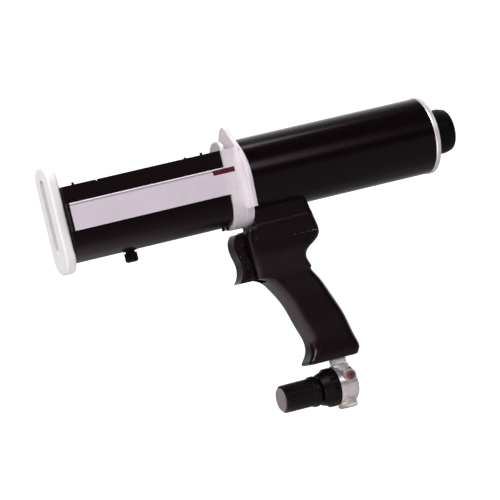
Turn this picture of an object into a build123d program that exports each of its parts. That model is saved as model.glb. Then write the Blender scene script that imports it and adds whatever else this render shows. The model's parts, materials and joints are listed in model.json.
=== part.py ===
from build123d import *
import os

# Air-driven caulking gun for twin cartridges, in millimetres.
# The front is -X, up is +Z, and the origin is the centre of the air inlet's mouth.
# Stations run back from the carrier head's front face, heights run up from the barrel axis.

# Places that the rest hangs on
axis_height = 289.0
inlet_station = 67.0
row_pitch = 50.0
upper_row = row_pitch / 2
lower_row = -row_pitch / 2

# Front plate
carrier_length = 225.0
plate_thick = 12.5
plate_width = 45.0
plate_height = 126.5
plate_corner = 20.0
plate_round = 3.0
plate_rise = 0.75
slot_width = 12.0
slot_height = 87.0
slot_rise = 6.3
plate_screw_side = 13.5
plate_screw_heights = (-38.0, 28.0)
plate_screw_radius = 2.0
plate_screw_head = 3.6
plate_screw_sink = 2.0
plate_screw_depth = 8.0

# Cradle
cradle_half = 27.0
cradle_wall = 2.5
cradle_top = 36.0
cradle_rear = -10.0
end_wall = 8.0
rail_stop = 3.0
nub_stations = (-210.0, -49.0)
nub_size = (2.8, 2.6)
nub_corner = 0.6
notch_station = -181.0
notch_size = (2.4, 2.4)
hook_stations = (-33.5, -28.5)
hook_size = (2.6, 4.0)
hook_drop = 3.5

# Side rails
rail_thick = 4.9
rail_half = 16.0
rail_gap = 0.1
rail_rear = -31.0
rail_chamfer = 0.7
rail_groove_height = 13.6
rail_groove_width = 1.6
rail_groove_depth = 1.8
tongue_thick = 2.5
tongue_bottom = -12.0
tongue_top = 8.0
tongue_rear = -12.0
tongue_gap = 0.05
rail_screw_height = 9.0
rail_screw_radius = 1.5
rail_screw_head = 2.3
rail_screw_sink = 0.8
rail_screw_length = 18.0
screw_tip_gap = 1.0
rivet_radius = 2.0
rivet_station = -19.0
rivet_heights = (-7.0, 3.0)

# Carrier head
head_radius = 47.0
head_tips = ((50.5, 12.0), (-36.0, 43.0))
head_flat = -36.0
head_flat_gap = 0.3
head_front = -7.0
head_thick = 3.0
head_back = head_front + head_thick
collar_front = -26.0
collar_half = 32.0
collar_gap = 0.05
collar_fillet = 4.0
head_edge = 0.8
rod_pass_radius = 8.3
head_screw_places = (17.0, 8.0)
head_screw_radius = 2.0
head_screw_head = 3.6
head_screw_sink = 2.0
head_screw_tip = 16.0

# Cartridge catch
catch_height = 11.8
catch_face = 5.6
catch_foot = 6.6
catch_depth = 2.4
catch_front = -42.0
catch_length = 28.5
catch_gap = 0.15
groove_front = -42.5
groove_rear = -8.5
catch_rib_count = 3
catch_rib_pitch = 3.0
catch_rib_width = 1.2
catch_rib_proud = 0.7

# Cartridge clamp under the cradle
clamp_station = -152.0
clamp_boss_radius = 8.0
clamp_boss_bottom = -52.6
clamp_neck_radius = 5.5
clamp_neck_bottom = -55.0
clamp_hole_radius = 3.05
clamp_screw_radius = 3.0
clamp_pad_radius = 6.0
clamp_pad_top = -49.8
clamp_pad_thick = 1.5
clamp_pad_gap = 0.3
clamp_knob_radius = 7.6
clamp_knob_top = -54.2
clamp_cup_radius = 6.0
clamp_cup_floor = -56.6
clamp_knob_bottom = -65.5
clamp_knob_round = 1.6
clamp_grip_count = 10
clamp_grip_radius = 0.9

# Air cylinder
tube_front = -1.5
tube_rear = 236.0
tube_radius = 45.0
bore_radius = 42.5
spigot_radius = 42.45
head_spigot_rear = 20.0
head_ring_front = 10.0
ring_width = 3.2
ring_depth = 2.8
rear_spigot_front = 222.0
rear_ring_front = 227.0
rear_ring_radius = 46.0
rear_ring_thick = 6.0
rear_ring_edge = 1.2
air_port_station = 16.8
air_port_radius = 2.0
air_groove_depth = 1.5
rod_radius = 6.0
bush_radius = 9.0
bush_bore = 6.05
bush_rear = 13.0
transfer_radius = 5.0
transfer_bore = 3.8
transfer_front = 9.0
transfer_rear = 228.0
transfer_port_station = 219.0
transfer_port_radius = 1.6

# Muffler cap
cap_radius = 26.5
cap_end_radius = 24.0
cap_taper_station = 264.0
cap_rear = 274.0
cap_round = 5.0
cap_cavity_radius = 20.0
cap_cavity_rear = 268.0
cap_spigot_radius = 16.0
cap_spigot_depth = 5.0
cap_spigot_bore = 12.0
cap_vent_count = 8
cap_vent_circle = 14.0
cap_vent_radius = 2.0
disc_thick = 4.0

# Drive: piston, rods and pushers, shown drawn back
piston_front = 198.0
piston_rear = 216.0
piston_radius = 42.3
piston_ring_radius = 42.46
seal_front = 200.5
seal_width = 4.0
guide_front = 207.5
guide_width = 5.0
piston_ring_depth = 2.6
tube_seal_front = 205.0
tube_seal_width = 4.0
tube_seal_radius = 8.0
tube_pass_radius = 5.3
tube_seal_bore = 5.05
stud_radius = 4.0
nut_pocket_radius = 8.2
nut_front = 208.5
nut_thick = 6.5
nut_flats = 13.0
pusher_radius = 23.0
pusher_front = -21.0
pusher_rear = -15.0
pusher_hub_radius = 9.0
pusher_hub_rear = -9.0
pusher_edge = 1.5
pusher_screw_radius = 2.5
pusher_screw_head = 5.0
pusher_screw_sink = 2.8
pusher_screw_depth = 16.0

# Handle
handle_half_head = 22.0
handle_half_grip = 17.5
handle_wall = 4.0
handle_head_wall = 5.5
head_sections = (
    (-49, -4, 66, 19, 6),
    (-58, -10, 73.5, 22, 8),
    (-74, -14, 76.5, 22, 8),
    (-88, -13.5, 71.5, 22, 8),
    (-97, -13, 58.5, 21.5, 8),
    (-107, -12.5, 54.5, 20, 8),
    (-119, -11.5, 57.5, 18.5, 8),
)
shoulder_sections = (
    (-36, -4, 69, 21.8, 7.5),
    (-60, -9, 73.4, 21.8, 7.5),
)
grip_sections = (
    (-119, -11.5, 57.5, 18.5, 8),
    (-130, 5, 63, 18, 10),
    (-145, 14, 71, 17.5, 11),
    (-168, 23.5, 80.5, 17.5, 11),
    (-190, 30.5, 87.5, 17.5, 11),
    (-207, 34.5, 91.5, 17.5, 11),
    (-217, 33, 93.5, 18, 9),
    (-226, 27.2, 91.3, 18, 7.5),
)
toe_sections = (
    (-226, 27.2, 91.3, 18, 7.5),
    (-228, 26.4, 90.6, 17.8, 7.4),
    (-229.5, 27, 89.2, 16.8, 6.6),
    (-230.2, 29, 86.6, 14.6, 5),
)
head_step = -1.2
head_shelf = -61.5
cover_front = 38.0
cover_bottom = -78.0
cover_seam = 0.05
rib_stations = (20.0, 44.0)
rib_thick = 3.0
saddle_screw_spots = ((22.0, -59.0), (54.0, -59.0))
head_screw_spots = saddle_screw_spots + ((60.5, -84.5),)
grip_screw_spots = ((31.0, -152.0), (79.0, -205.0))
pillar_places = head_screw_spots[2:] + grip_screw_spots
pillar_half = 16.9
pillar_radius = 4.5
handle_screw_radius = 2.0
handle_screw_head = 3.6
handle_screw_head_thick = 2.4
handle_screw_seat = 3.0

# Saddle
saddle_front = 14.0
saddle_rear = 62.0
saddle_half = 15.0
saddle_bottom = -66.0
saddle_gap = 0.2
outlet_station = 30.0
outlet_bottom = -79.0
outlet_socket = 2.0
saddle_passage_height = -54.0

# Trigger and air valve
pivot_station = -5.0
pivot_height = -71.0
trigger_half = 10.0
trigger_slot_half = 10.6
trigger_pocket = 2.5
pin_radius = 2.5
pin_bore = 2.55
pin_half = 21.0
valve_height = -88.0
valve_front = 16.0
valve_rear = 50.0
valve_radius = 11.0
valve_bore = 5.0
valve_bore_front = 18.5
valve_bore_rear = 48.0
spool_radius = 4.95
spool_front = -1.6
spool_shoulder = 19.0
spool_rear = 36.0
stem_radius = 3.0
stem_bore = 3.06
spool_ring_stations = (22.0, 32.0)
spool_ring_width = 2.0
spool_ring_depth = 1.2
spool_ring_radius = 4.97
valve_spring_radius = 4.0
valve_spring_bore = 2.8
supply_station = 40.0
supply_radius = 4.0
supply_bore = 2.8
supply_bend = 28.0
supply_top = -97.5
supply_upper_bend = -125.0
supply_lower_bend = -196.0

# Regulator under the grip
neck_top = -214.0
neck_bottom = -246.0
neck_radius = 6.5
neck_bore = 3.5
neck_collar_top = -230.7
neck_collar_bottom = -237.0
neck_collar_radius = 10.0
regulator_axis = -261.0
body_front = 55.0
body_flange_radius = 22.5
body_flange_rear = 60.0
body_radius = 20.0
body_rear = 79.0
column_radius = 11.5
column_top = -237.5
column_bottom = -284.2
body_edge = 1.5
chamber_radius = 15.0
chamber_rear = 58.0
web_rear = 63.0
seat_radius = 3.0
poppet_bore = 9.0
poppet_radius = 6.0
poppet_stem = 2.0
poppet_tip = 56.0
poppet_front = 63.4
poppet_rear = 67.0
poppet_guide = 2.5
poppet_guide_rear = 71.0
poppet_spring_radius = 5.0
poppet_spring_bore = 3.2
sense_height = -249.5
sense_radius = 2.0
poppet_plug_front = 74.0
poppet_plug_head = 11.0
poppet_plug_rear = 83.0
inlet_flats = 22.0
inlet_hex_top = -284.2
inlet_spigot_radius = 8.0
inlet_spigot_top = -272.0
inlet_radius = 5.7
inlet_depth = 12.0
inlet_passage = 3.0
gauge_station = 70.0
gauge_height = -252.0
gauge_boss_radius = 7.5
gauge_boss_face = 20.5
gauge_boss_root = 8.0
gauge_plug_radius = 5.2
gauge_plug_proud = 2.4
gauge_shank_radius = 4.0
gauge_shank_depth = 7.0
gauge_key_flats = 4.0
gauge_key_depth = 1.6
bonnet_rear = 53.5
bonnet_radius = 23.0
bonnet_flange_front = 44.0
bonnet_shoulder_radius = 18.5
bonnet_shoulder_front = 35.0
bonnet_shoulder_rear_radius = 21.0
bonnet_neck_radius = 13.0
bonnet_neck_front = 20.0
spring_chamber = 12.0
spring_chamber_front = 34.0
spindle_radius = 5.0
spindle_bore = 5.06
spindle_front = -4.0
spindle_flange_radius = 8.0
spindle_flange_front = 34.2
spindle_flange_rear = 36.2
spindle_thread_radius = 3.0
spindle_thread_rear = 47.0
button_front = 37.0
button_rear = 40.0
button_radius = 11.5
button_bore = 3.06
range_spring_radius = 10.0
range_spring_bore = 7.0
diaphragm_plate_front = 51.5
diaphragm_plate_radius = 11.0
knob_front = -12.5
knob_rear = 31.0
knob_radius = 16.5
knob_collar_radius = 18.0
knob_collar_front = 24.0
knob_cavity_radius = 13.6
knob_cavity_front = 10.0
knob_edge = 1.5
knob_flute_count = 24
knob_flute_radius = 0.7
disc_face = -14.5
disc_radius = 14.0
disc_spigot_rear = -8.0
disc_edge = 0.6

head_x = -inlet_station
tiny = 0.02


def station(x, y=0.0, z=0.0):
    """Plane square to the barrel: its x runs along +Y and its y runs up."""
    return Plane(origin=(head_x + x, y, axis_height + z), x_dir=(0, 1, 0), z_dir=(1, 0, 0))


def upright(y=0.0):
    """Plane along the barrel: its x is the station and its y the height."""
    return Plane(origin=(head_x, y, axis_height), x_dir=(1, 0, 0), z_dir=(0, -1, 0))


def level(z, x=0.0, y=0.0):
    """Level plane at a height, centred on a station."""
    return Plane(origin=(head_x + x, y, axis_height + z), x_dir=(1, 0, 0), z_dir=(0, 0, 1))


def bar_back(x0, x1, radius, z=0.0, y=0.0, mode=Mode.ADD):
    """Round bar that runs back from one station to another."""
    with BuildSketch(station(x0, y, z)) as section:
        Circle(radius)
    extrude(section.sketch, amount=x1 - x0, mode=mode)


def ring_back(x0, x1, outer, inner, z=0.0):
    """Ring whose axis runs along the barrel."""
    with BuildSketch(station(x0, 0, z)) as section:
        Circle(outer)
        Circle(inner, mode=Mode.SUBTRACT)
    extrude(section.sketch, amount=x1 - x0)


def cone_back(x0, x1, radius_0, radius_1, z=0.0, y=0.0, mode=Mode.ADD):
    """Cone that runs back from one station to another."""
    with BuildSketch(station(x0, y, z)) as front:
        Circle(radius_0)
    with BuildSketch(station(x1, y, z)) as rear:
        Circle(radius_1)
    loft([front.sketch, rear.sketch], mode=mode)


def bar_up(z0, z1, radius, x, y=0.0, mode=Mode.ADD):
    """Upright round bar between two heights."""
    with BuildSketch(level(z0, x, y)) as section:
        Circle(radius)
    extrude(section.sketch, amount=z1 - z0, mode=mode)


def hex_up(z0, z1, flats, x, mode=Mode.ADD):
    """Upright hexagon bar between two heights, by its width across flats."""
    with BuildSketch(level(z0, x)) as section:
        RegularPolygon(flats / 2, 6, major_radius=False, rotation=30)
    extrude(section.sketch, amount=z1 - z0, mode=mode)


def bar_across(y0, y1, radius, x, z, mode=Mode.ADD):
    """Round bar that runs across the tool between two Y places."""
    with BuildSketch(upright(y0)) as section:
        with Locations((x, z)):
            Circle(radius)
    extrude(section.sketch, amount=y0 - y1, mode=mode)


def trough(half, top):
    """Outline of the trough: straight sides and a half-round bottom about the lower row."""
    with BuildLine() as edge:
        Line((-half, top), (-half, lower_row))
        ThreePointArc((-half, lower_row), (0, lower_row - half), (half, lower_row))
        Line((half, lower_row), (half, top))
        Line((half, top), (-half, top))
    return edge


def head_outline():
    """Outline of the flange: a round middle drawn out to a narrower top and bottom."""
    with BuildSketch() as outline:
        Circle(head_radius)
        for place, radius in head_tips:
            with Locations((0, place)):
                Circle(radius)
        make_hull(outline.edges())
    return outline.sketch


def below_flat():
    """Region under the flange's flat and outside the collar."""
    with BuildSketch() as region:
        with Locations((0, head_flat - head_radius)):
            Rectangle(4 * head_radius, 2 * head_radius)
        with BuildLine():
            add(trough(collar_half + head_flat_gap, cradle_top).line)
        make_face(mode=Mode.SUBTRACT)
    return region.sketch


def keep(piece, name):
    """Label a finished piece and write it to its own file."""
    piece.part.label = name
    export_step(piece.part, f"parts/{name}.step")


os.makedirs("parts", exist_ok=True)
plate_front = -carrier_length - plate_thick
end_wall_rear = -carrier_length + end_wall
rail_front = -carrier_length + rail_stop
rail_inner = cradle_half + rail_gap
rail_outer = rail_inner + rail_thick
rail_middle = rail_inner + rail_thick / 2

# Front plate, with the upright slot that the cartridge's nose goes through
with BuildPart() as front_plate:
    with BuildSketch(station(plate_front, 0, plate_rise)):
        RectangleRounded(plate_width, plate_height, plate_corner)
    extrude(amount=plate_thick)
    rim_edges = front_plate.edges().group_by(Axis.X)
    fillet(rim_edges[0] + rim_edges[-1], plate_round)
    with BuildSketch(station(plate_front)):
        with Locations((0, slot_rise)):
            SlotOverall(slot_height, slot_width, rotation=90)
    extrude(amount=plate_thick, mode=Mode.SUBTRACT)
    for side in (-1, 1):
        for height in plate_screw_heights:
            bar_back(
                -carrier_length - plate_screw_depth - screw_tip_gap, -carrier_length,
                plate_screw_radius + tiny, height, side * plate_screw_side, Mode.SUBTRACT,
            )
keep(front_plate, "front_plate")

# Cradle, the black trough that the two cartridges lie in, one above the other
with BuildPart() as cradle:
    with BuildSketch(station(-carrier_length)):
        with BuildLine():
            add(trough(cradle_half, cradle_top).line)
        make_face()
        with BuildLine():
            add(trough(cradle_half - cradle_wall, cradle_top).line)
        make_face(mode=Mode.SUBTRACT)
    extrude(amount=carrier_length + cradle_rear)
    with BuildSketch(station(-carrier_length)):
        with BuildLine():
            add(trough(cradle_half, cradle_top).line)
        make_face()
        with Locations((0, slot_rise)):
            SlotOverall(slot_height, slot_width, rotation=90, mode=Mode.SUBTRACT)
    extrude(amount=end_wall)
    wall_middle = cradle_half - cradle_wall / 2
    for side in (-1, 1):
        with BuildSketch(station(-carrier_length, side * (rail_outer + wall_middle) / 2)):
            Rectangle(rail_outer - wall_middle, 2 * rail_half)
        extrude(amount=rail_stop)
        for height in (-rail_screw_height, rail_screw_height):
            place = (height, side * rail_middle)
            cone_back(
                -carrier_length, -carrier_length + rail_screw_sink, rail_screw_head + tiny,
                rail_screw_radius + tiny, *place, Mode.SUBTRACT,
            )
            bar_back(-carrier_length, rail_front, rail_screw_radius + tiny, *place, Mode.SUBTRACT)
        for height in plate_screw_heights:
            place = (height, side * plate_screw_side)
            bar_back(-carrier_length, end_wall_rear, plate_screw_radius + tiny, *place, Mode.SUBTRACT)
            cone_back(
                end_wall_rear - plate_screw_sink, end_wall_rear, plate_screw_radius + tiny,
                plate_screw_head + tiny, *place, Mode.SUBTRACT,
            )
        for nub in nub_stations:
            with BuildSketch(level(cradle_top, nub, side * wall_middle)):
                RectangleRounded(nub_size[0], cradle_wall, nub_corner)
            extrude(amount=nub_size[1])
        with BuildSketch(level(cradle_top, notch_station, side * wall_middle)):
            Rectangle(notch_size[0], cradle_wall)
        extrude(amount=-notch_size[1], mode=Mode.SUBTRACT)
    for hook in hook_stations:
        with BuildSketch(level(lower_row - cradle_half + cradle_wall / 2, hook)):
            Rectangle(*hook_size)
        extrude(amount=-hook_drop - cradle_wall / 2)
    bar_up(clamp_boss_bottom, lower_row - cradle_half + cradle_wall / 2, clamp_boss_radius, clamp_station)
    bar_up(clamp_neck_bottom, clamp_boss_bottom, clamp_neck_radius, clamp_station)
    bar_up(clamp_neck_bottom, lower_row, clamp_hole_radius, clamp_station, mode=Mode.SUBTRACT)
    bar_up(
        clamp_pad_top - clamp_pad_thick, lower_row, clamp_pad_radius + clamp_pad_gap, clamp_station,
        mode=Mode.SUBTRACT,
    )
keep(cradle, "cradle")

with BuildPart() as plate_screws:
    for side in (-1, 1):
        for height in plate_screw_heights:
            place = (height, side * plate_screw_side)
            head_seat = end_wall_rear - plate_screw_sink
            bar_back(-carrier_length - plate_screw_depth, head_seat, plate_screw_radius, *place)
            cone_back(head_seat, end_wall_rear, plate_screw_radius, plate_screw_head, *place)
keep(plate_screws, "plate_screws")


def catch_groove(gap):
    """Dovetail outline of the catch, grown by a gap, on the left side's outer face."""
    face = catch_face / 2 + gap
    foot = catch_foot / 2 + gap
    floor = -rail_outer + catch_depth + gap
    with BuildLine() as edge:
        Polyline(
            (-rail_outer, catch_height - face),
            (floor, catch_height - foot),
            (floor, catch_height + foot),
            (-rail_outer, catch_height + face),
            close=True,
        )
    return edge


# Side rails, flat bars along the cradle, each with a rear tongue held in the carrier head
for side, side_name in ((-1, "left"), (1, "right")):
    with BuildPart() as side_rail:
        with BuildSketch(station(rail_front, side * rail_middle)):
            Rectangle(rail_thick, 2 * rail_half)
        extrude(amount=rail_rear - rail_front)
        outer_face = side_rail.faces().sort_by(Axis.Y)[-1 if side > 0 else 0]
        chamfer(outer_face.edges().filter_by(Axis.X), rail_chamfer)
        with BuildSketch(station(rail_front, side * rail_outer)):
            with Locations((0, rail_groove_height)):
                Rectangle(2 * rail_groove_depth, rail_groove_width)
        extrude(amount=rail_rear - rail_front, mode=Mode.SUBTRACT)
        with BuildSketch(station(rail_rear, side * rail_middle)):
            with Locations((0, (tongue_bottom + tongue_top) / 2)):
                Rectangle(tongue_thick, tongue_top - tongue_bottom)
        extrude(amount=tongue_rear - rail_rear)
        for height in (-rail_screw_height, rail_screw_height):
            bar_back(
                rail_front, -carrier_length + rail_screw_length + screw_tip_gap, rail_screw_radius + tiny,
                height, side * rail_middle, Mode.SUBTRACT,
            )
        for height in rivet_heights:
            bar_across(
                side * rail_inner, side * rail_outer, rivet_radius + tiny, rivet_station, height,
                Mode.SUBTRACT,
            )
        if side < 0:
            with BuildSketch(station(groove_front)):
                with BuildLine():
                    add(catch_groove(catch_gap).line)
                make_face()
            extrude(amount=rail_rear - groove_front, mode=Mode.SUBTRACT)
    keep(side_rail, f"side_rail_{side_name}")

with BuildPart() as rail_screws:
    for side in (-1, 1):
        for height in (-rail_screw_height, rail_screw_height):
            place = (height, side * rail_middle)
            shank_front = -carrier_length + rail_screw_sink
            cone_back(-carrier_length, shank_front, rail_screw_head, rail_screw_radius, *place)
            bar_back(shank_front, -carrier_length + rail_screw_length, rail_screw_radius, *place)
keep(rail_screws, "rail_screws")

with BuildPart() as rail_rivets:
    for side in (-1, 1):
        for height in rivet_heights:
            bar_across(
                side * (cradle_half + collar_gap), side * rail_outer, rivet_radius, rivet_station, height
            )
keep(rail_rivets, "rail_rivets")

# Carrier head: flange with a collar round the cradle's rear end
with BuildPart() as carrier_head:
    with BuildSketch(station(head_front)):
        add(head_outline())
    extrude(amount=head_thick)
    chamfer(carrier_head.edges().group_by(Axis.X)[0], head_edge)
    with BuildSketch(station(collar_front)):
        with BuildLine():
            add(trough(collar_half, cradle_top).line)
        make_face()
    extrude(amount=head_front - collar_front)
    for flare, place in ((0, head_front - collar_fillet), (collar_fillet, head_front)):
        with BuildSketch(station(place)):
            with BuildLine():
                add(trough(collar_half + flare, cradle_top).line)
            make_face()
    loft(ruled=True)
    with BuildSketch(station(head_front - collar_fillet)):
        add(below_flat())
    extrude(amount=collar_fillet + head_thick, mode=Mode.SUBTRACT)
    for side in (-1, 1):
        with BuildSketch(station(rail_rear, side * (cradle_half + collar_half) / 2)):
            Rectangle(collar_half - cradle_half, 2 * rail_half)
        extrude(amount=collar_front - rail_rear)
    with BuildSketch(station(rail_rear)):
        with BuildLine():
            add(trough(cradle_half + collar_gap, head_radius).line)
        make_face()
    extrude(amount=head_front - rail_rear, mode=Mode.SUBTRACT)
    for side in (-1, 1):
        with BuildSketch(station(rail_rear, side * rail_middle)):
            with Locations((0, (tongue_bottom + tongue_top) / 2)):
                Rectangle(tongue_thick + 2 * tongue_gap, tongue_top - tongue_bottom + 2 * tongue_gap)
        extrude(amount=tongue_rear - rail_rear + tongue_gap, mode=Mode.SUBTRACT)
        for height in rivet_heights:
            bar_across(
                side * cradle_half, side * collar_half, rivet_radius + tiny, rivet_station, height,
                Mode.SUBTRACT,
            )
        for height in (-head_screw_places[1], head_screw_places[1]):
            place = (height, side * head_screw_places[0])
            cone_back(
                head_front, head_front + head_screw_sink, head_screw_head + tiny, head_screw_radius + tiny,
                *place, Mode.SUBTRACT,
            )
            bar_back(head_front, head_back, head_screw_radius + tiny, *place, Mode.SUBTRACT)
    for row in (lower_row, upper_row):
        bar_back(head_front, head_back, rod_pass_radius, row, mode=Mode.SUBTRACT)
    with BuildSketch(station(rail_rear)):
        with BuildLine():
            add(catch_groove(catch_gap).line)
        make_face()
    extrude(amount=groove_rear - rail_rear, mode=Mode.SUBTRACT)
keep(carrier_head, "carrier_head")

with BuildPart() as head_screws:
    for side in (-1, 1):
        for height in (-head_screw_places[1], head_screw_places[1]):
            place = (height, side * head_screw_places[0])
            cone_back(head_front, head_front + head_screw_sink, head_screw_head, head_screw_radius, *place)
            bar_back(head_front + head_screw_sink, head_screw_tip, head_screw_radius, *place)
keep(head_screws, "head_screws")

# Red catch, a dovetail slide across the joint of rail and carrier head
with BuildPart() as cartridge_catch:
    with BuildSketch(station(catch_front)):
        with BuildLine():
            add(catch_groove(0).line)
        make_face()
    extrude(amount=catch_length)
    for rib in range(catch_rib_count):
        rib_station = catch_front + catch_length / 2 + (rib - (catch_rib_count - 1) / 2) * catch_rib_pitch
        with BuildSketch(station(rib_station - catch_rib_width / 2, -rail_outer)):
            with Locations((0, catch_height)):
                Rectangle(2 * catch_rib_proud, catch_face - catch_rib_width)
        extrude(amount=catch_rib_width)
keep(cartridge_catch, "cartridge_catch")

# Clamp under the cradle: a thumb screw that lifts a pad against the lower cartridge
with BuildPart() as clamp_pad:
    bar_up(clamp_pad_top - clamp_pad_thick, clamp_pad_top, clamp_pad_radius, clamp_station)
keep(clamp_pad, "clamp_pad")

with BuildPart() as clamp_screw:
    bar_up(clamp_knob_bottom, clamp_knob_top, clamp_knob_radius, clamp_station)
    fillet(clamp_screw.edges().group_by(Axis.Z)[0], clamp_knob_round)
    with BuildSketch(level(clamp_knob_bottom, clamp_station)):
        with PolarLocations(clamp_knob_radius, clamp_grip_count):
            Circle(clamp_grip_radius)
    extrude(amount=clamp_knob_top - clamp_knob_bottom, mode=Mode.SUBTRACT)
    bar_up(clamp_cup_floor, clamp_knob_top, clamp_cup_radius, clamp_station, mode=Mode.SUBTRACT)
    bar_up(clamp_cup_floor, clamp_pad_top - clamp_pad_thick, clamp_screw_radius, clamp_station)
keep(clamp_screw, "clamp_screw")

# Cylinder head behind the flange, with the rod bushes and the air passage
with BuildPart() as cylinder_head:
    with BuildSketch(station(head_back)):
        add(head_outline())
    extrude(amount=tube_front - head_back)
    chamfer(cylinder_head.edges().group_by(Axis.X)[-1], head_edge)
    with BuildSketch(station(head_back)):
        add(below_flat())
    extrude(amount=tube_front - head_back, mode=Mode.SUBTRACT)
    bar_back(tube_front, head_spigot_rear, spigot_radius)
    with BuildSketch(station(head_ring_front)):
        Circle(spigot_radius)
        Circle(bore_radius - ring_depth, mode=Mode.SUBTRACT)
    extrude(amount=ring_width, mode=Mode.SUBTRACT)
    for row in (lower_row, upper_row):
        bar_back(head_back, head_spigot_rear, bush_radius, row, mode=Mode.SUBTRACT)
    for side in (-1, 1):
        for height in (-head_screw_places[1], head_screw_places[1]):
            bar_back(
                head_back, head_screw_tip + screw_tip_gap, head_screw_radius + tiny, height,
                side * head_screw_places[0], Mode.SUBTRACT,
            )
    bar_back(transfer_front, head_spigot_rear, transfer_radius, mode=Mode.SUBTRACT)
    with BuildSketch(station(air_port_station - air_port_radius)):
        Circle(spigot_radius)
        Circle(spigot_radius - air_groove_depth, mode=Mode.SUBTRACT)
    extrude(amount=2 * air_port_radius, mode=Mode.SUBTRACT)
    bar_across(-spigot_radius, 0, transfer_port_radius, air_port_station, 0, Mode.SUBTRACT)
keep(cylinder_head, "cylinder_head")

with BuildPart() as cylinder_tube:
    ring_back(tube_front, tube_rear, tube_radius, bore_radius)
    bar_up(-tube_radius, air_port_radius - bore_radius, air_port_radius, air_port_station, mode=Mode.SUBTRACT)
keep(cylinder_tube, "cylinder_tube")

with BuildPart() as head_o_ring:
    ring_back(head_ring_front, head_ring_front + ring_width, bore_radius, bore_radius - ring_depth)
keep(head_o_ring, "head_o_ring")

with BuildPart() as rear_plug:
    bar_back(tube_rear, tube_rear + rear_ring_thick, rear_ring_radius)
    chamfer(rear_plug.edges(), rear_ring_edge)
    bar_back(rear_spigot_front, tube_rear, spigot_radius)
    with BuildSketch(station(rear_ring_front)):
        Circle(spigot_radius)
        Circle(bore_radius - ring_depth, mode=Mode.SUBTRACT)
    extrude(amount=ring_width, mode=Mode.SUBTRACT)
    bar_back(rear_spigot_front, transfer_rear, transfer_radius, mode=Mode.SUBTRACT)
    bar_back(
        tube_rear + rear_ring_thick - cap_spigot_depth, tube_rear + rear_ring_thick, cap_spigot_radius,
        mode=Mode.SUBTRACT,
    )
keep(rear_plug, "rear_plug")

with BuildPart() as rear_o_ring:
    ring_back(rear_ring_front, rear_ring_front + ring_width, bore_radius, bore_radius - ring_depth)
keep(rear_o_ring, "rear_o_ring")

with BuildPart() as transfer_tube:
    ring_back(transfer_front, transfer_rear, transfer_radius, transfer_bore)
    bar_across(-transfer_radius, transfer_radius, transfer_port_radius, transfer_port_station, 0,
               Mode.SUBTRACT)
    bar_across(-transfer_radius, 0, transfer_port_radius, air_port_station, 0, Mode.SUBTRACT)
keep(transfer_tube, "transfer_tube")

with BuildPart() as rod_bushes:
    for row in (lower_row, upper_row):
        ring_back(head_back, bush_rear, bush_radius, bush_bore, row)
keep(rod_bushes, "rod_bushes")

with BuildPart() as rod_seals:
    for row in (lower_row, upper_row):
        ring_back(bush_rear, head_spigot_rear, bush_radius, bush_bore, row)
keep(rod_seals, "rod_seals")

# Muffler cap and its sintered disc
cap_front = tube_rear + rear_ring_thick
with BuildPart() as muffler_cap:
    bar_back(cap_front, cap_taper_station, cap_radius)
    cone_back(cap_taper_station, cap_rear, cap_radius, cap_end_radius)
    fillet(muffler_cap.edges().group_by(Axis.X)[-1], cap_round)
    bar_back(cap_front - cap_spigot_depth, cap_front, cap_spigot_radius)
    bar_back(cap_front + disc_thick / 2, cap_cavity_rear, cap_cavity_radius, mode=Mode.SUBTRACT)
    bar_back(cap_front - cap_spigot_depth, cap_cavity_rear, cap_spigot_bore, mode=Mode.SUBTRACT)
    with BuildSketch(station(cap_cavity_rear)):
        with PolarLocations(cap_vent_circle, cap_vent_count):
            Circle(cap_vent_radius)
    extrude(amount=cap_rear - cap_cavity_rear, mode=Mode.SUBTRACT)
keep(muffler_cap, "muffler_cap")

with BuildPart() as muffler_disc:
    bar_back(cap_front + disc_thick / 2, cap_front + 3 * disc_thick / 2, cap_cavity_radius - tiny)
keep(muffler_disc, "muffler_disc")

# Drive: piston with two rods, which push the cartridge plungers forward
with BuildPart() as piston:
    bar_back(piston_front, piston_rear, piston_radius)
    for ring_front, width in ((seal_front, seal_width), (guide_front, guide_width)):
        with BuildSketch(station(ring_front)):
            Circle(piston_radius)
            Circle(piston_radius - piston_ring_depth, mode=Mode.SUBTRACT)
        extrude(amount=width, mode=Mode.SUBTRACT)
    bar_back(piston_front, piston_rear, tube_pass_radius, mode=Mode.SUBTRACT)
    bar_back(tube_seal_front, tube_seal_front + tube_seal_width, tube_seal_radius, mode=Mode.SUBTRACT)
    for row in (lower_row, upper_row):
        bar_back(piston_front, piston_rear, stud_radius, row, mode=Mode.SUBTRACT)
        bar_back(nut_front, piston_rear, nut_pocket_radius, row, mode=Mode.SUBTRACT)
keep(piston, "piston")

with BuildPart() as piston_seal:
    ring_back(seal_front, seal_front + seal_width, piston_ring_radius, piston_radius - piston_ring_depth)
keep(piston_seal, "piston_seal")

with BuildPart() as piston_guide_ring:
    ring_back(guide_front, guide_front + guide_width, piston_ring_radius, piston_radius - piston_ring_depth)
keep(piston_guide_ring, "piston_guide_ring")

with BuildPart() as transfer_seal:
    ring_back(tube_seal_front, tube_seal_front + tube_seal_width, tube_seal_radius, tube_seal_bore)
keep(transfer_seal, "transfer_seal")

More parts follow.
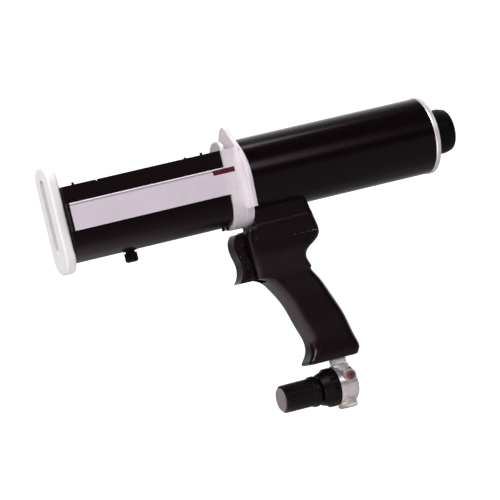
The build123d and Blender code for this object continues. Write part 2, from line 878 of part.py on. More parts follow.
rod_front = pusher_hub_rear
for row, row_name in ((upper_row, "upper"), (lower_row, "lower")):
    with BuildPart() as push_rod:
        bar_back(rod_front, piston_front, rod_radius, row)
        bar_back(piston_front, nut_front + nut_thick, stud_radius, row)
        bar_back(pusher_front + pusher_screw_sink, rod_front, stud_radius, row)
        bar_back(
            pusher_front + pusher_screw_sink, pusher_front + pusher_screw_depth, pusher_screw_radius, row,
            mode=Mode.SUBTRACT,
        )
    keep(push_rod, f"push_rod_{row_name}")

    with BuildPart() as pusher:
        bar_back(pusher_front, pusher_rear, pusher_radius, row)
        chamfer(pusher.edges(), pusher_edge)
        bar_back(pusher_rear, pusher_hub_rear, pusher_hub_radius, row)
        bar_back(pusher_front, pusher_hub_rear, stud_radius, row, mode=Mode.SUBTRACT)
        cone_back(
            pusher_front, pusher_front + pusher_screw_sink, pusher_screw_head, stud_radius, row,
            mode=Mode.SUBTRACT,
        )
    keep(pusher, f"pusher_{row_name}")

with BuildPart() as rod_nuts:
    for row in (lower_row, upper_row):
        with BuildSketch(station(nut_front, 0, row)):
            RegularPolygon(nut_flats / 2, 6, major_radius=False)
            Circle(stud_radius, mode=Mode.SUBTRACT)
        extrude(amount=nut_thick)
keep(rod_nuts, "rod_nuts")

with BuildPart() as pusher_screws:
    for row in (lower_row, upper_row):
        cone_back(pusher_front, pusher_front + pusher_screw_sink, pusher_screw_head, stud_radius, row)
        bar_back(
            pusher_front + pusher_screw_sink, pusher_front + pusher_screw_depth, pusher_screw_radius, row
        )
keep(pusher_screws, "pusher_screws")


def handle_loft(sections, ruled=False):
    """Loft through level rounded rectangles, each a height, its front, rear, half width and corner."""
    faces = []
    for height, front, rear, half, corner in sections:
        with BuildSketch(level(height, (front + rear) / 2)) as section:
            RectangleRounded(rear - front, 2 * half, corner)
        faces.append(section.sketch)
    loft(faces, ruled=ruled)


# Handle with its cavities, screw pillars, valve ribs, and openings for saddle, trigger and neck
with BuildPart() as handle:
    handle_loft(head_sections)
    handle_loft(shoulder_sections, ruled=True)
    bar_back(-handle_half_head, 4 * handle_half_head, tube_radius + saddle_gap, mode=Mode.SUBTRACT)
    handle_loft(grip_sections)
    handle_loft(toe_sections, ruled=True)
    with BuildSketch(upright()):
        with BuildLine():
            Polyline(
                (12, -53), (58, -53), (68, -64), (69, -78), (63, -88), (51, -96), (49, -112), (-8, -112),
                (-9, -77), (-6, -65.5), (12, -65.5), close=True,
            )
        make_face()
    extrude(amount=handle_half_head - handle_head_wall, both=True, mode=Mode.SUBTRACT)
    with BuildSketch(upright()):
        with BuildLine():
            Polyline(
                (-6, -111), (49, -111), (54, -124), (73, -163), (86, -205), (86, -225), (40, -225),
                (41, -210), (29, -168), (17, -138), (4, -127), (-6, -118), close=True,
            )
        make_face()
    extrude(amount=handle_half_grip - handle_wall, both=True, mode=Mode.SUBTRACT)
    for place in rib_stations:
        with BuildSketch(station(place)):
            with Locations((0, valve_height)):
                Rectangle(2 * handle_half_head - handle_wall, 2 * valve_radius + 2 * rib_thick)
        extrude(amount=rib_thick)
    for place in pillar_places:
        bar_across(-pillar_half, pillar_half, pillar_radius, *place)
    bar_back(valve_front, valve_rear, valve_radius, valve_height, mode=Mode.SUBTRACT)
    with BuildSketch(level(saddle_bottom - saddle_gap, (saddle_front + saddle_rear) / 2)):
        Rectangle(saddle_rear - saddle_front + 2 * saddle_gap, 2 * (saddle_half + saddle_gap))
    extrude(amount=-saddle_bottom, mode=Mode.SUBTRACT)
    with BuildSketch(upright()):
        with BuildLine():
            Polyline((-40, -64.7), (4, -64.7), (8, -96), (9, -124.5), (-40, -124.5), close=True)
        make_face()
    extrude(amount=trigger_slot_half, both=True, mode=Mode.SUBTRACT)
    with BuildSketch(level(head_shelf, head_step - handle_half_head)):
        Rectangle(2 * handle_half_head, 3 * handle_half_head)
    extrude(amount=-head_shelf, mode=Mode.SUBTRACT)
    bar_across(-handle_half_head, handle_half_head, pin_radius, pivot_station, pivot_height, Mode.SUBTRACT)
    bar_up(neck_collar_top, neck_top, neck_radius, inlet_station, mode=Mode.SUBTRACT)
    for half, places in ((handle_half_head, head_screw_spots), (handle_half_grip, grip_screw_spots)):
        for place in places:
            bar_across(-half + handle_wall, half, handle_screw_radius, *place, Mode.SUBTRACT)
            bar_across(
                half - handle_screw_seat, handle_half_head + handle_screw_seat, handle_screw_head, *place,
                Mode.SUBTRACT,
            )


def cover_region(grow):
    """Outline of the head cover on the side view, grown by part of its seam."""
    with BuildLine() as edge:
        Polyline(
            (cover_front - grow, cover_bottom - grow),
            (cover_front - grow, 0),
            (carrier_length, 0),
            (carrier_length, cover_bottom - grow),
            close=True,
        )
    return edge


with BuildPart() as head_cover:
    add(handle.part)
    with BuildSketch(upright()):
        with BuildLine():
            add(cover_region(0).line)
        make_face()
    extrude(amount=2 * handle_half_head, both=True, mode=Mode.INTERSECT)
keep(head_cover, "head_cover")

for keep_side, side_name in ((Keep.TOP, "left"), (Keep.BOTTOM, "right")):
    with BuildPart() as handle_shell:
        add(handle.part)
        with BuildSketch(upright()):
            with BuildLine():
                add(cover_region(cover_seam).line)
            make_face()
        extrude(amount=2 * handle_half_head, both=True, mode=Mode.SUBTRACT)
        split(bisect_by=Plane.XZ, keep=keep_side)
    keep(handle_shell, f"handle_{side_name}")

with BuildPart() as handle_screws:
    for half, places in ((handle_half_head, head_screw_spots), (handle_half_grip, grip_screw_spots)):
        for place in places:
            seat = half - handle_screw_seat
            bar_across(-half + handle_wall, seat, handle_screw_radius, *place)
            bar_across(seat, seat + handle_screw_head_thick, handle_screw_head, *place)
keep(handle_screws, "handle_screws")

# Saddle that carries the handle under the barrel, with the air passage to the cylinder
with BuildPart() as saddle:
    with BuildSketch(level(saddle_bottom, (saddle_front + saddle_rear) / 2)):
        Rectangle(saddle_rear - saddle_front, 2 * saddle_half)
    extrude(amount=-saddle_bottom - tube_radius / 2)
    bar_back(saddle_front, saddle_rear, tube_radius, mode=Mode.SUBTRACT)
    bar_up(saddle_bottom, saddle_bottom + outlet_socket, supply_radius, outlet_station, mode=Mode.SUBTRACT)
    bar_up(saddle_bottom, saddle_passage_height, air_port_radius, outlet_station, mode=Mode.SUBTRACT)
    bar_back(air_port_station, outlet_station, air_port_radius, saddle_passage_height, mode=Mode.SUBTRACT)
    bar_up(saddle_passage_height, -tube_radius, air_port_radius, air_port_station, mode=Mode.SUBTRACT)
    for place in saddle_screw_spots:
        bar_across(-saddle_half, saddle_half, handle_screw_radius, *place, Mode.SUBTRACT)
keep(saddle, "saddle")

# Trigger with side pockets that leave a rim and a slanting rib
with BuildPart() as trigger:
    with BuildSketch(upright()):
        with BuildLine():
            Polyline(
                (-24, -63), (-15, -62.3), (-14.5, -66.5), (0, -66), (-5, -119.5), (-24, -119.5), (-34, -119),
            )
            Spline((-34, -119), (-28, -111), (-26, -100), (-29, -85), (-29, -71), (-24, -63))
        make_face()
    extrude(amount=trigger_half, both=True)
    for face_side in (-1, 1):
        with BuildSketch(upright(face_side * (trigger_half - trigger_pocket))):
            with BuildLine():
                Polyline((-26, -77), (-13, -77), (-9.5, -107), close=True)
            make_face()
            with BuildLine():
                Polyline((-25, -88), (-23, -100), (-25, -111), (-28, -116.5), (-14, -116.5), close=True)
            make_face()
        extrude(amount=-face_side * trigger_pocket, mode=Mode.SUBTRACT)
    bar_across(-trigger_half, trigger_half, pin_bore, pivot_station, pivot_height, Mode.SUBTRACT)
keep(trigger, "trigger")

with BuildPart() as trigger_pin:
    bar_across(-pin_half, pin_half, pin_radius, pivot_station, pivot_height)
keep(trigger_pin, "trigger_pin")

# Air valve behind the trigger, and its tubes
with BuildPart() as valve_body:
    bar_back(valve_front, valve_rear, valve_radius, valve_height)
    bar_back(valve_front, valve_bore_front, stem_bore, valve_height, mode=Mode.SUBTRACT)
    bar_back(valve_bore_front, valve_bore_rear, valve_bore, valve_height, mode=Mode.SUBTRACT)
    bar_up(valve_height - valve_radius, supply_top, supply_radius, supply_station, mode=Mode.SUBTRACT)
    bar_up(supply_top, valve_height, air_port_radius, supply_station, mode=Mode.SUBTRACT)
    bar_up(outlet_bottom, valve_height + valve_radius, supply_radius, outlet_station, mode=Mode.SUBTRACT)
    bar_up(valve_height, outlet_bottom, air_port_radius, outlet_station, mode=Mode.SUBTRACT)
keep(valve_body, "valve_body")

with BuildPart() as valve_spool:
    bar_back(spool_front, spool_shoulder, stem_radius, valve_height)
    bar_back(spool_shoulder, spool_rear, spool_radius, valve_height)
    for place in spool_ring_stations:
        with BuildSketch(station(place, 0, valve_height)):
            Circle(spool_radius)
            Circle(spool_radius - spool_ring_depth, mode=Mode.SUBTRACT)
        extrude(amount=spool_ring_width, mode=Mode.SUBTRACT)
keep(valve_spool, "valve_spool")

with BuildPart() as spool_seals:
    for place in spool_ring_stations:
        ring_back(
            place, place + spool_ring_width, spool_ring_radius, spool_radius - spool_ring_depth, valve_height
        )
keep(spool_seals, "spool_seals")

with BuildPart() as valve_spring:
    ring_back(spool_rear, valve_bore_rear, valve_spring_radius, valve_spring_bore, valve_height)
keep(valve_spring, "valve_spring")

with BuildPart() as supply_tube:
    with BuildLine(upright()) as supply_route:
        FilletPolyline(
            (inlet_station, neck_top),
            (inlet_station, supply_lower_bend),
            (supply_station, supply_upper_bend),
            (supply_station, supply_top),
            radius=supply_bend,
        )
    with BuildSketch(level(neck_top, inlet_station)):
        Circle(supply_radius)
        Circle(supply_bore, mode=Mode.SUBTRACT)
    sweep(path=supply_route.line)
keep(supply_tube, "supply_tube")

with BuildPart() as outlet_tube:
    with BuildSketch(level(outlet_bottom, outlet_station)):
        Circle(supply_radius)
        Circle(supply_bore, mode=Mode.SUBTRACT)
    extrude(amount=saddle_bottom + outlet_socket - outlet_bottom)
keep(outlet_tube, "outlet_tube")

# Neck between the grip and the regulator
with BuildPart() as grip_nipple:
    bar_up(neck_bottom, neck_top, neck_radius, inlet_station)
    bar_up(neck_collar_bottom, neck_collar_top, neck_collar_radius, inlet_station)
    bar_up(neck_bottom, neck_top, neck_bore, inlet_station, mode=Mode.SUBTRACT)
keep(grip_nipple, "grip_nipple")

# Regulator body: a drum along the barrel on an upright column
with BuildPart() as regulator_body:
    bar_back(body_front, body_flange_rear, body_flange_radius, regulator_axis)
    bar_back(body_flange_rear, body_rear, body_radius, regulator_axis)
    chamfer(regulator_body.edges().group_by(Axis.X)[-1], body_edge)
    bar_up(column_bottom, column_top, column_radius, inlet_station)
    bar_across(-gauge_boss_face, -gauge_boss_root, gauge_boss_radius, gauge_station, gauge_height)
    bar_back(body_front, chamber_rear, chamber_radius, regulator_axis, mode=Mode.SUBTRACT)
    bar_back(chamber_rear, web_rear, seat_radius, regulator_axis, mode=Mode.SUBTRACT)
    bar_back(web_rear, body_rear, poppet_bore, regulator_axis, mode=Mode.SUBTRACT)
    bar_up(neck_bottom, column_top, neck_radius, inlet_station, mode=Mode.SUBTRACT)
    bar_up(sense_height - sense_radius, neck_bottom, neck_bore, inlet_station, mode=Mode.SUBTRACT)
    bar_back(body_front, inlet_station, sense_radius, sense_height, mode=Mode.SUBTRACT)
    bar_up(column_bottom, inlet_spigot_top, inlet_spigot_radius, inlet_station, mode=Mode.SUBTRACT)
    bar_up(inlet_spigot_top, regulator_axis, inlet_passage, inlet_station, mode=Mode.SUBTRACT)
    bar_across(
        -gauge_boss_face, -gauge_boss_face + gauge_shank_depth, gauge_shank_radius, gauge_station,
        gauge_height, Mode.SUBTRACT,
    )
keep(regulator_body, "regulator_body")

with BuildPart() as gauge_plug:
    bar_across(
        -gauge_boss_face - gauge_plug_proud, -gauge_boss_face, gauge_plug_radius, gauge_station, gauge_height
    )
    bar_across(
        -gauge_boss_face, -gauge_boss_face + gauge_shank_depth, gauge_shank_radius, gauge_station,
        gauge_height,
    )
    with BuildSketch(upright(-gauge_boss_face - gauge_plug_proud)):
        with Locations((gauge_station, gauge_height)):
            RegularPolygon(gauge_key_flats / 2, 6, major_radius=False)
    extrude(amount=-gauge_key_depth, mode=Mode.SUBTRACT)
keep(gauge_plug, "gauge_plug")

with BuildPart() as inlet_bush:
    hex_up(-axis_height, inlet_hex_top, inlet_flats, inlet_station)
    bar_up(inlet_hex_top, inlet_spigot_top, inlet_spigot_radius, inlet_station)
    bar_up(-axis_height, -axis_height + inlet_depth, inlet_radius, inlet_station, mode=Mode.SUBTRACT)
    bar_up(-axis_height + inlet_depth, inlet_spigot_top, inlet_passage, inlet_station, mode=Mode.SUBTRACT)
keep(inlet_bush, "inlet_bush")

# Bonnet, with the range spring between the button and the diaphragm
with BuildPart() as bonnet:
    bar_back(bonnet_flange_front, bonnet_rear, bonnet_radius, regulator_axis)
    chamfer(bonnet.edges(), body_edge)
    cone_back(
        bonnet_shoulder_front, bonnet_flange_front, bonnet_shoulder_radius, bonnet_shoulder_rear_radius,
        regulator_axis,
    )
    bar_back(bonnet_neck_front, bonnet_shoulder_front, bonnet_neck_radius, regulator_axis)
    bar_back(spring_chamber_front, bonnet_rear, spring_chamber, regulator_axis, mode=Mode.SUBTRACT)
    bar_back(bonnet_neck_front, spring_chamber_front, spindle_bore, regulator_axis, mode=Mode.SUBTRACT)
keep(bonnet, "bonnet")

with BuildPart() as diaphragm:
    bar_back(bonnet_rear, body_front, body_flange_radius, regulator_axis)
    bar_back(diaphragm_plate_front, bonnet_rear, diaphragm_plate_radius, regulator_axis)
keep(diaphragm, "diaphragm")

with BuildPart() as adjusting_spindle:
    bar_back(spindle_front, spindle_flange_front, spindle_radius, regulator_axis)
    bar_back(spindle_flange_front, spindle_flange_rear, spindle_flange_radius, regulator_axis)
    bar_back(spindle_flange_rear, spindle_thread_rear, spindle_thread_radius, regulator_axis)
keep(adjusting_spindle, "adjusting_spindle")

with BuildPart() as spring_button:
    ring_back(button_front, button_rear, button_radius, button_bore, regulator_axis)
keep(spring_button, "spring_button")

with BuildPart() as range_spring:
    ring_back(
        button_rear, diaphragm_plate_front, range_spring_radius, range_spring_bore, regulator_axis
    )
keep(range_spring, "range_spring")

with BuildPart() as poppet:
    bar_back(poppet_tip, poppet_front, poppet_stem, regulator_axis)
    bar_back(poppet_front, poppet_rear, poppet_radius, regulator_axis)
    bar_back(poppet_rear, poppet_guide_rear, poppet_guide, regulator_axis)
keep(poppet, "poppet")

with BuildPart() as poppet_spring:
    ring_back(
        poppet_rear, poppet_plug_front, poppet_spring_radius, poppet_spring_bore, regulator_axis
    )
keep(poppet_spring, "poppet_spring")

with BuildPart() as poppet_plug:
    bar_back(poppet_plug_front, body_rear, poppet_bore, regulator_axis)
    with BuildSketch(station(body_rear, 0, regulator_axis)):
        RegularPolygon(poppet_plug_head, 6)
    extrude(amount=poppet_plug_rear - body_rear)
keep(poppet_plug, "poppet_plug")

# Knob that locks when pushed in, and its end disc
with BuildPart() as regulator_knob:
    bar_back(knob_front, knob_collar_front, knob_radius, regulator_axis)
    chamfer(regulator_knob.edges().group_by(Axis.X)[0], knob_edge)
    with BuildSketch(station(knob_front + 2 * knob_edge, 0, regulator_axis)):
        with PolarLocations(knob_radius, knob_flute_count):
            Circle(knob_flute_radius)
    extrude(amount=knob_collar_front - knob_front, mode=Mode.SUBTRACT)
    bar_back(knob_collar_front, knob_rear, knob_collar_radius, regulator_axis)
    bar_back(knob_cavity_front, knob_rear, knob_cavity_radius, regulator_axis, mode=Mode.SUBTRACT)
    bar_back(knob_front, knob_cavity_front, spindle_bore, regulator_axis, mode=Mode.SUBTRACT)
keep(regulator_knob, "regulator_knob")

with BuildPart() as knob_disc:
    bar_back(disc_face, knob_front, disc_radius, regulator_axis)
    chamfer(knob_disc.edges().group_by(Axis.X)[0], disc_edge)
    bar_back(knob_front, disc_spigot_rear, spindle_radius, regulator_axis)
keep(knob_disc, "knob_disc")
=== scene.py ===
"""Looks of an air-driven caulking gun for twin cartridges.

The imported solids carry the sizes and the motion. This file gives them their finishes and models the
castings, knobs, fittings and screws that show up close. Stations run back from the carrier head and
heights run up from the barrel axis, both in millimetres, and y is towards the tool's right side.
"""
import json
import logging
import math
from collections.abc import Sequence
from dataclasses import dataclass
from enum import Enum

import bmesh
import bpy
from mathutils import Matrix, Vector


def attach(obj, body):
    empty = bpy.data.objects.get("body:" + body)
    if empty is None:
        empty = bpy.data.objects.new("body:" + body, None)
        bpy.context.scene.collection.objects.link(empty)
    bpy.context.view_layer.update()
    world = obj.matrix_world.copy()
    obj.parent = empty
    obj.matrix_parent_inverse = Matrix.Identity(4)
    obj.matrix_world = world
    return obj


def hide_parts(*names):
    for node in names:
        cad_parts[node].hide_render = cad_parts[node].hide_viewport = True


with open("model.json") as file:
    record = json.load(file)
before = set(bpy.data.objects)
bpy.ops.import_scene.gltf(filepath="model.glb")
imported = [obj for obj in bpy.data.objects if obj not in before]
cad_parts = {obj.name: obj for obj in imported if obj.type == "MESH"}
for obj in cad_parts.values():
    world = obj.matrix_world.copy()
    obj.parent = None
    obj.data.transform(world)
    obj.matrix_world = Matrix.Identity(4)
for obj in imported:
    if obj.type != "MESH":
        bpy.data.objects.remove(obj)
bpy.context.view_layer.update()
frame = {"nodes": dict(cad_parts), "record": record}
LOG = logging.getLogger("caulking_gun")
MM = 0.001
HEAD_X = -67.0
AXIS_HEIGHT = 289.0
PIN_POINT = 0.01
SHARP_ANGLE = 35.0
SOFT_ANGLE = 40.0
BLOTCH_SIZE = 22.0
RUB_SIZE = 5.0
EDGE_REACH = 0.5
FLOOR_BLOTCH_SIZE = 900.0

Colour = tuple[float, float, float]
Span = tuple[float, float]


def at(station: float, y: float, height: float) -> Vector:
    """Point in the row frame, in metres, from a station, a side and a height in millimetres."""
    return Vector(((station + HEAD_X) * MM, y * MM, (height + AXIS_HEIGHT) * MM))


def shade(red: int, green: int, blue: int) -> Colour:
    """Linear colour from the three screen values, each 0 to 255."""
    parts = (value / 255 for value in (red, green, blue))
    return tuple(((v + 0.055) / 1.055) ** 2.4 if v > 10 / 255 else v / 12.92 for v in parts)


class Grain(Enum):
    """What breaks up a surface when it is seen close: its stretch along each axis."""

    MOULDED = (1.0, 1.0, 1.0)
    CAST = (1.0, 1.0, 0.9)
    DRAWN = (0.02, 1.0, 1.0)
    TURNED = (1.0, 0.1, 0.1)
    RUBBED = (0.3, 1.0, 0.3)
    COILED = (1.0, 0.02, 0.02)


class Tree:
    """Lays out the nodes of one material."""

    def __init__(self, name: str) -> None:
        """Start a material with the standard shader.

        Args:
            name: The material's name.
        """
        self.material = bpy.data.materials.new(name)
        self.material.use_nodes = True
        self.nodes = self.material.node_tree.nodes
        self.links = self.material.node_tree.links
        self.shader = self.nodes["Principled BSDF"]
        self.coords = self.add("ShaderNodeTexCoord").outputs["Object"]

    def add(self, kind: str, **settings: object) -> bpy.types.Node:
        """Add a node and set its properties.

        Args:
            kind: The node's type name.
            settings: Properties to set on it.

        Returns:
            The new node.
        """
        node = self.nodes.new(kind)
        for key, value in settings.items():
            setattr(node, key, value)
        return node

    def join(self, output: bpy.types.NodeSocket, target: bpy.types.NodeSocket) -> None:
        """Link one socket to another."""
        self.links.new(output, target)

    def noise(self, size: float, stretch: Colour = (1, 1, 1), detail: float = 2.0) -> bpy.types.NodeSocket:
        """Noise in the piece's own frame.

        Args:
            size: Size of the blotches in millimetres.
            stretch: How fine it is along each axis.
            detail: Octaves of finer noise.

        Returns:
            The noise value, about 0.5 on average.
        """
        mapping = self.add("ShaderNodeMapping")
        mapping.inputs["Scale"].default_value = stretch
        self.join(self.coords, mapping.inputs["Vector"])
        noise = self.add("ShaderNodeTexNoise")
        noise.inputs["Scale"].default_value = 1 / (size * MM)
        noise.inputs["Detail"].default_value = detail
        self.join(mapping.outputs["Vector"], noise.inputs["Vector"])
        return noise.outputs["Fac"]

    def remap(self, value: bpy.types.NodeSocket, span: Span, result: Span) -> bpy.types.NodeSocket:
        """Carry a value from one span to another, held at the ends.

        Args:
            value: The socket to read.
            span: Its low and high value.
            result: What those two become.

        Returns:
            The new value.
        """
        node = self.add("ShaderNodeMapRange")
        for name, number in zip(("From Min", "From Max", "To Min", "To Max"), (*span, *result)):
            node.inputs[name].default_value = number
        self.join(value, node.inputs["Value"])
        return node.outputs["Result"]

    def reckon(self, operation: str, first: bpy.types.NodeSocket, second: object) -> bpy.types.NodeSocket:
        """Combine two values.

        Args:
            operation: The sum to do, by Blender's name for it.
            first: The first value.
            second: The second value, a socket or a number.

        Returns:
            The result.
        """
        node = self.add("ShaderNodeMath", operation=operation)
        self.join(first, node.inputs[0])
        if isinstance(second, bpy.types.NodeSocket):
            self.join(second, node.inputs[1])
        else:
            node.inputs[1].default_value = second
        return node.outputs["Value"]

    def blend(self, share: bpy.types.NodeSocket, first: object, second: Colour) -> bpy.types.NodeSocket:
        """Mix two colours.

        Args:
            share: How much of the second shows.
            first: A colour, or a socket that holds one.
            second: A colour.

        Returns:
            The mixed colour.
        """
        node = self.add("ShaderNodeMix", data_type="RGBA")
        self.join(share, node.inputs["Factor"])
        for socket, colour in ((node.inputs["A"], first), (node.inputs["B"], second)):
            if isinstance(colour, bpy.types.NodeSocket):
                self.join(colour, socket)
            else:
                socket.default_value = (*colour, 1)
        return node.outputs["Result"]

    def edges(self, reach: float) -> bpy.types.NodeSocket:
        """Mask that rises along sharp edges.

        Args:
            reach: How far it spreads from an edge, in millimetres.

        Returns:
            About 0 on open faces and 1 on edges.
        """
        soft = self.add("ShaderNodeBevel", samples=4)
        soft.inputs["Radius"].default_value = reach * MM
        across = self.add("ShaderNodeVectorMath", operation="DOT_PRODUCT")
        self.join(soft.outputs["Normal"], across.inputs[0])
        self.join(self.add("ShaderNodeNewGeometry").outputs["Normal"], across.inputs[1])
        return self.remap(across.outputs["Value"], (0.985, 0.85), (0, 1))

    def bump(self, height: bpy.types.NodeSocket, depth: float) -> bpy.types.NodeSocket:
        """Bump from a height value.

        Args:
            height: The height, 0 to 1.
            depth: What a height of 1 stands for, in millimetres.

        Returns:
            The bent normal.
        """
        node = self.add("ShaderNodeBump")
        node.inputs["Distance"].default_value = depth * MM
        self.join(height, node.inputs["Height"])
        return node.outputs["Normal"]


@dataclass(frozen=True)
class Finish:
    """A surface finish: its colour, its gloss, and the grain, edge wear and painted edge highlight that break
    it up.
    """

    slot: str
    colour: Colour
    roughness: float
    metallic: float = 0.0
    specular: float = 0.5
    grain: Grain = Grain.MOULDED
    grain_size: float = 0.5
    grain_depth: float = 0.01
    mottle: float = 0.08
    edge_wear_and_sheen: float = 0.25
    edge_wear_and_sheen_colour: Colour = (0.09, 0.085, 0.085)
    tint: Colour = (1.0, 1.0, 1.0)

    def material(self) -> bpy.types.Material:
        """Make the material, or fetch it if it is there.

        Returns:
            The material of this finish.
        """
        made = bpy.data.materials.get(self.slot + "_finish")
        if made:
            return made
        tree = Tree(self.slot + "_finish")
        shader = tree.shader
        shader.inputs["Metallic"].default_value = self.metallic
        shader.inputs["Specular IOR Level"].default_value = self.specular
        shader.inputs["Specular Tint"].default_value = (*self.tint, 1)
        grain = tree.noise(self.grain_size, self.grain.value, 3.0)
        low, high = (tuple(min(1.0, c * (1 + s * self.mottle)) for c in self.colour) for s in (-1, 1))
        blotch = tree.remap(tree.noise(BLOTCH_SIZE, detail=3.0), (0.3, 0.7), (0, 1))
        colour = tree.blend(blotch, low, high)
        # Edge mask times rubbed noise, blended to the edge colour: real edge wear on most finishes, painted
        # highlight along the trigger's edges.
        rubbed_and_sheen = tree.remap(tree.noise(RUB_SIZE, detail=4.0), (0.42, 0.62), (0, self.edge_wear_and_sheen))
        colour = tree.blend(tree.reckon("MULTIPLY", tree.edges(EDGE_REACH), rubbed_and_sheen), colour, self.edge_wear_and_sheen_colour)
        tree.join(colour, shader.inputs["Base Color"])
        span = (self.roughness * 0.93, min(1.0, self.roughness * 1.07))
        tree.join(tree.remap(grain, (0.3, 0.7), span), shader.inputs["Roughness"])
        tree.join(tree.bump(grain, self.grain_depth), shader.inputs["Normal"])
        return tree.material


BRIGHT_METAL = (0.75, 0.74, 0.74)
WARM_SHEEN = (1.0, 0.76, 0.86)
FINISHES: dict[str, Finish] = {
    finish.slot: finish
    for finish in (
        Finish(
            "plate_aluminium", shade(240, 236, 239), 0.5, 0.1, 0.3, Grain.CAST, 0.8,
            edge_wear_and_sheen_colour=BRIGHT_METAL, mottle=0.02,
        ),
        Finish(
            "rail_aluminium", shade(224, 212, 223), 0.42, 0.25, 0.3, Grain.DRAWN, 0.6, 0.004, 0.03,
            edge_wear_and_sheen_colour=BRIGHT_METAL,
        ),
        Finish(
            "cast_aluminium", shade(226, 216, 222), 0.5, 0.2, 0.3, Grain.CAST, 0.9, 0.02, 0.03,
            edge_wear_and_sheen_colour=BRIGHT_METAL,
        ),
        Finish(
            "ring_aluminium", shade(232, 226, 229), 0.34, 0.5, 0.5, Grain.TURNED, 0.4, 0.004, 0.03,
            edge_wear_and_sheen_colour=BRIGHT_METAL,
        ),
        Finish(
            "cradle_black", shade(15, 8, 11), 0.3, specular=0.13, grain_size=0.35, grain_depth=0.004,
            tint=WARM_SHEEN,
        ),
        Finish("barrel_black", shade(11, 5, 7), 0.2, 0.0, 0.15, Grain.DRAWN, 0.5, 0.002, tint=WARM_SHEEN),
        Finish(
            "handle_black", shade(15, 6, 10), 0.27, specular=0.28, grain_size=0.45, grain_depth=0.012,
            tint=WARM_SHEEN,
        ),
        # The trigger's pale edge colour at 0.9 is painted highlight along its edges and ribs, where its gloss
        # would catch the light, not wear.
        Finish(
            "trigger_black", shade(16, 7, 11), 0.28, specular=0.24, grain_size=0.4, edge_wear_and_sheen=0.9,
            edge_wear_and_sheen_colour=shade(130, 118, 124), tint=WARM_SHEEN,
        ),
        Finish("saddle_black", shade(9, 7, 8), 0.55, specular=0.08, grain=Grain.CAST, grain_depth=0.02),
        Finish("cap_black", shade(9, 7, 8), 0.46, specular=0.08, grain_depth=0.01),
        Finish("knob_black", shade(12, 8, 9), 0.36, specular=0.11, tint=WARM_SHEEN),
        Finish("disc_grey", shade(130, 120, 124), 0.5, specular=0.3, edge_wear_and_sheen_colour=shade(70, 66, 68)),
        Finish("red_plastic", shade(84, 10, 28), 0.4, specular=0.3, edge_wear_and_sheen_colour=shade(54, 8, 20)),
        Finish("zinc_steel", shade(186, 184, 188), 0.33, 0.9, grain=Grain.RUBBED, edge_wear_and_sheen_colour=BRIGHT_METAL),
        Finish(
            "hard_chrome", shade(214, 215, 218), 0.14, 1.0, 0.5, Grain.TURNED, 0.5, 0.002, 0.02,
            edge_wear_and_sheen_colour=BRIGHT_METAL,
        ),
        # Nickel's pale tone raised to near white with metallic near 0: the colour paints in the burnt-out
        # highlight of polished nickel in place of a metal's reflection.
        Finish(
            "nickel", shade(253, 249, 251), 0.4, 0.05, 0.5, Grain.RUBBED, 0.5, 0.006, 0.04,
            edge_wear_and_sheen_colour=BRIGHT_METAL,
        ),
        Finish(
            "regulator_zinc", shade(226, 212, 214), 0.28, 0.8, 0.5, Grain.CAST, 0.8, 0.03, 0.08,
            edge_wear_and_sheen_colour=BRIGHT_METAL,
        ),
        # Brass's yellow raised to almost white with metallic 0: the colour paints in the burnt-out highlight
        # of polished brass in place of a metal's reflection.
        Finish(
            "brass", shade(254, 250, 228), 0.36, 0.0, 0.5, Grain.TURNED, 0.5, 0.005, 0.06,
            edge_wear_and_sheen_colour=shade(236, 214, 160),
        ),
        Finish("bronze", shade(150, 112, 66), 0.6, 0.8, 0.5, Grain.CAST, 0.4, 0.08, edge_wear_and_sheen_colour=shade(190, 150, 96)),
        Finish("plug_copper", shade(122, 78, 78), 0.42, 0.5, 0.5, Grain.RUBBED, edge_wear_and_sheen_colour=shade(170, 120, 112)),
        Finish(
            "spring_steel", shade(150, 150, 154), 0.3, 0.9, 0.5, Grain.COILED, 1.2, 0.5, edge_wear_and_sheen_colour=BRIGHT_METAL
        ),
        Finish("seal_rubber", shade(16, 16, 16), 0.7, specular=0.2),
        Finish("tube_grey", shade(120, 122, 126), 0.4, specular=0.3, edge_wear_and_sheen_colour=shade(150, 152, 156)),
    )
}


def soften(piece: bpy.types.Object, width: float) -> None:
    """Round off a piece's sharp edges.

    Args:
        piece: The piece.
        width: Width of the rounding in millimetres.
    """
    soft = piece.modifiers.new("soft_edges", "BEVEL")
    soft.width = width * MM
    soft.segments = 2
    soft.limit_method = "ANGLE"
    soft.angle_limit = math.radians(SOFT_ANGLE)
    soft.harden_normals = True


def dress(width: float, *nodes: str) -> None:
    """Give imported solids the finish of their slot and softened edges.

    Args:
        width: Width of the softened edges in millimetres, or 0 for none.
        nodes: Names of the solids.
    """
    for entry in frame["record"]["subparts"]:
        if entry["node"] not in nodes:
            continue
        piece = frame["nodes"][entry["node"]]
        piece.data.materials.clear()
        piece.data.materials.append(FINISHES[entry["material_slot"]].material())
        if width:
            soften(piece, width)
        LOG.info("dressed %s as %s", entry["node"], entry["material_slot"])


class Section(Enum):
    """Outline of a turned piece across its axis: how many lobes it has and how deep they are cut."""

    ROUND = (0, 0.0)
    HEX = (6, 0.0)
    FLUTED = (30, 0.7)
    SCALLOPED = (10, 1.1)
    NOTCHED = (12, 0.8)

    def reach(self, radius: float, angle: float) -> float:
        """Distance from the axis at an angle.

        Args:
            radius: Outer radius, or half the width across flats.
            angle: The angle in radians.

        Returns:
            The distance, in the radius's unit.
        """
        lobes, depth = self.value
        if self is Section.ROUND:
            return radius
        if self is Section.HEX:
            sector = math.tau / lobes
            return radius / math.cos((angle % sector) - sector / 2)
        return radius - depth * (0.5 + 0.5 * math.cos(lobes * angle)) ** 3


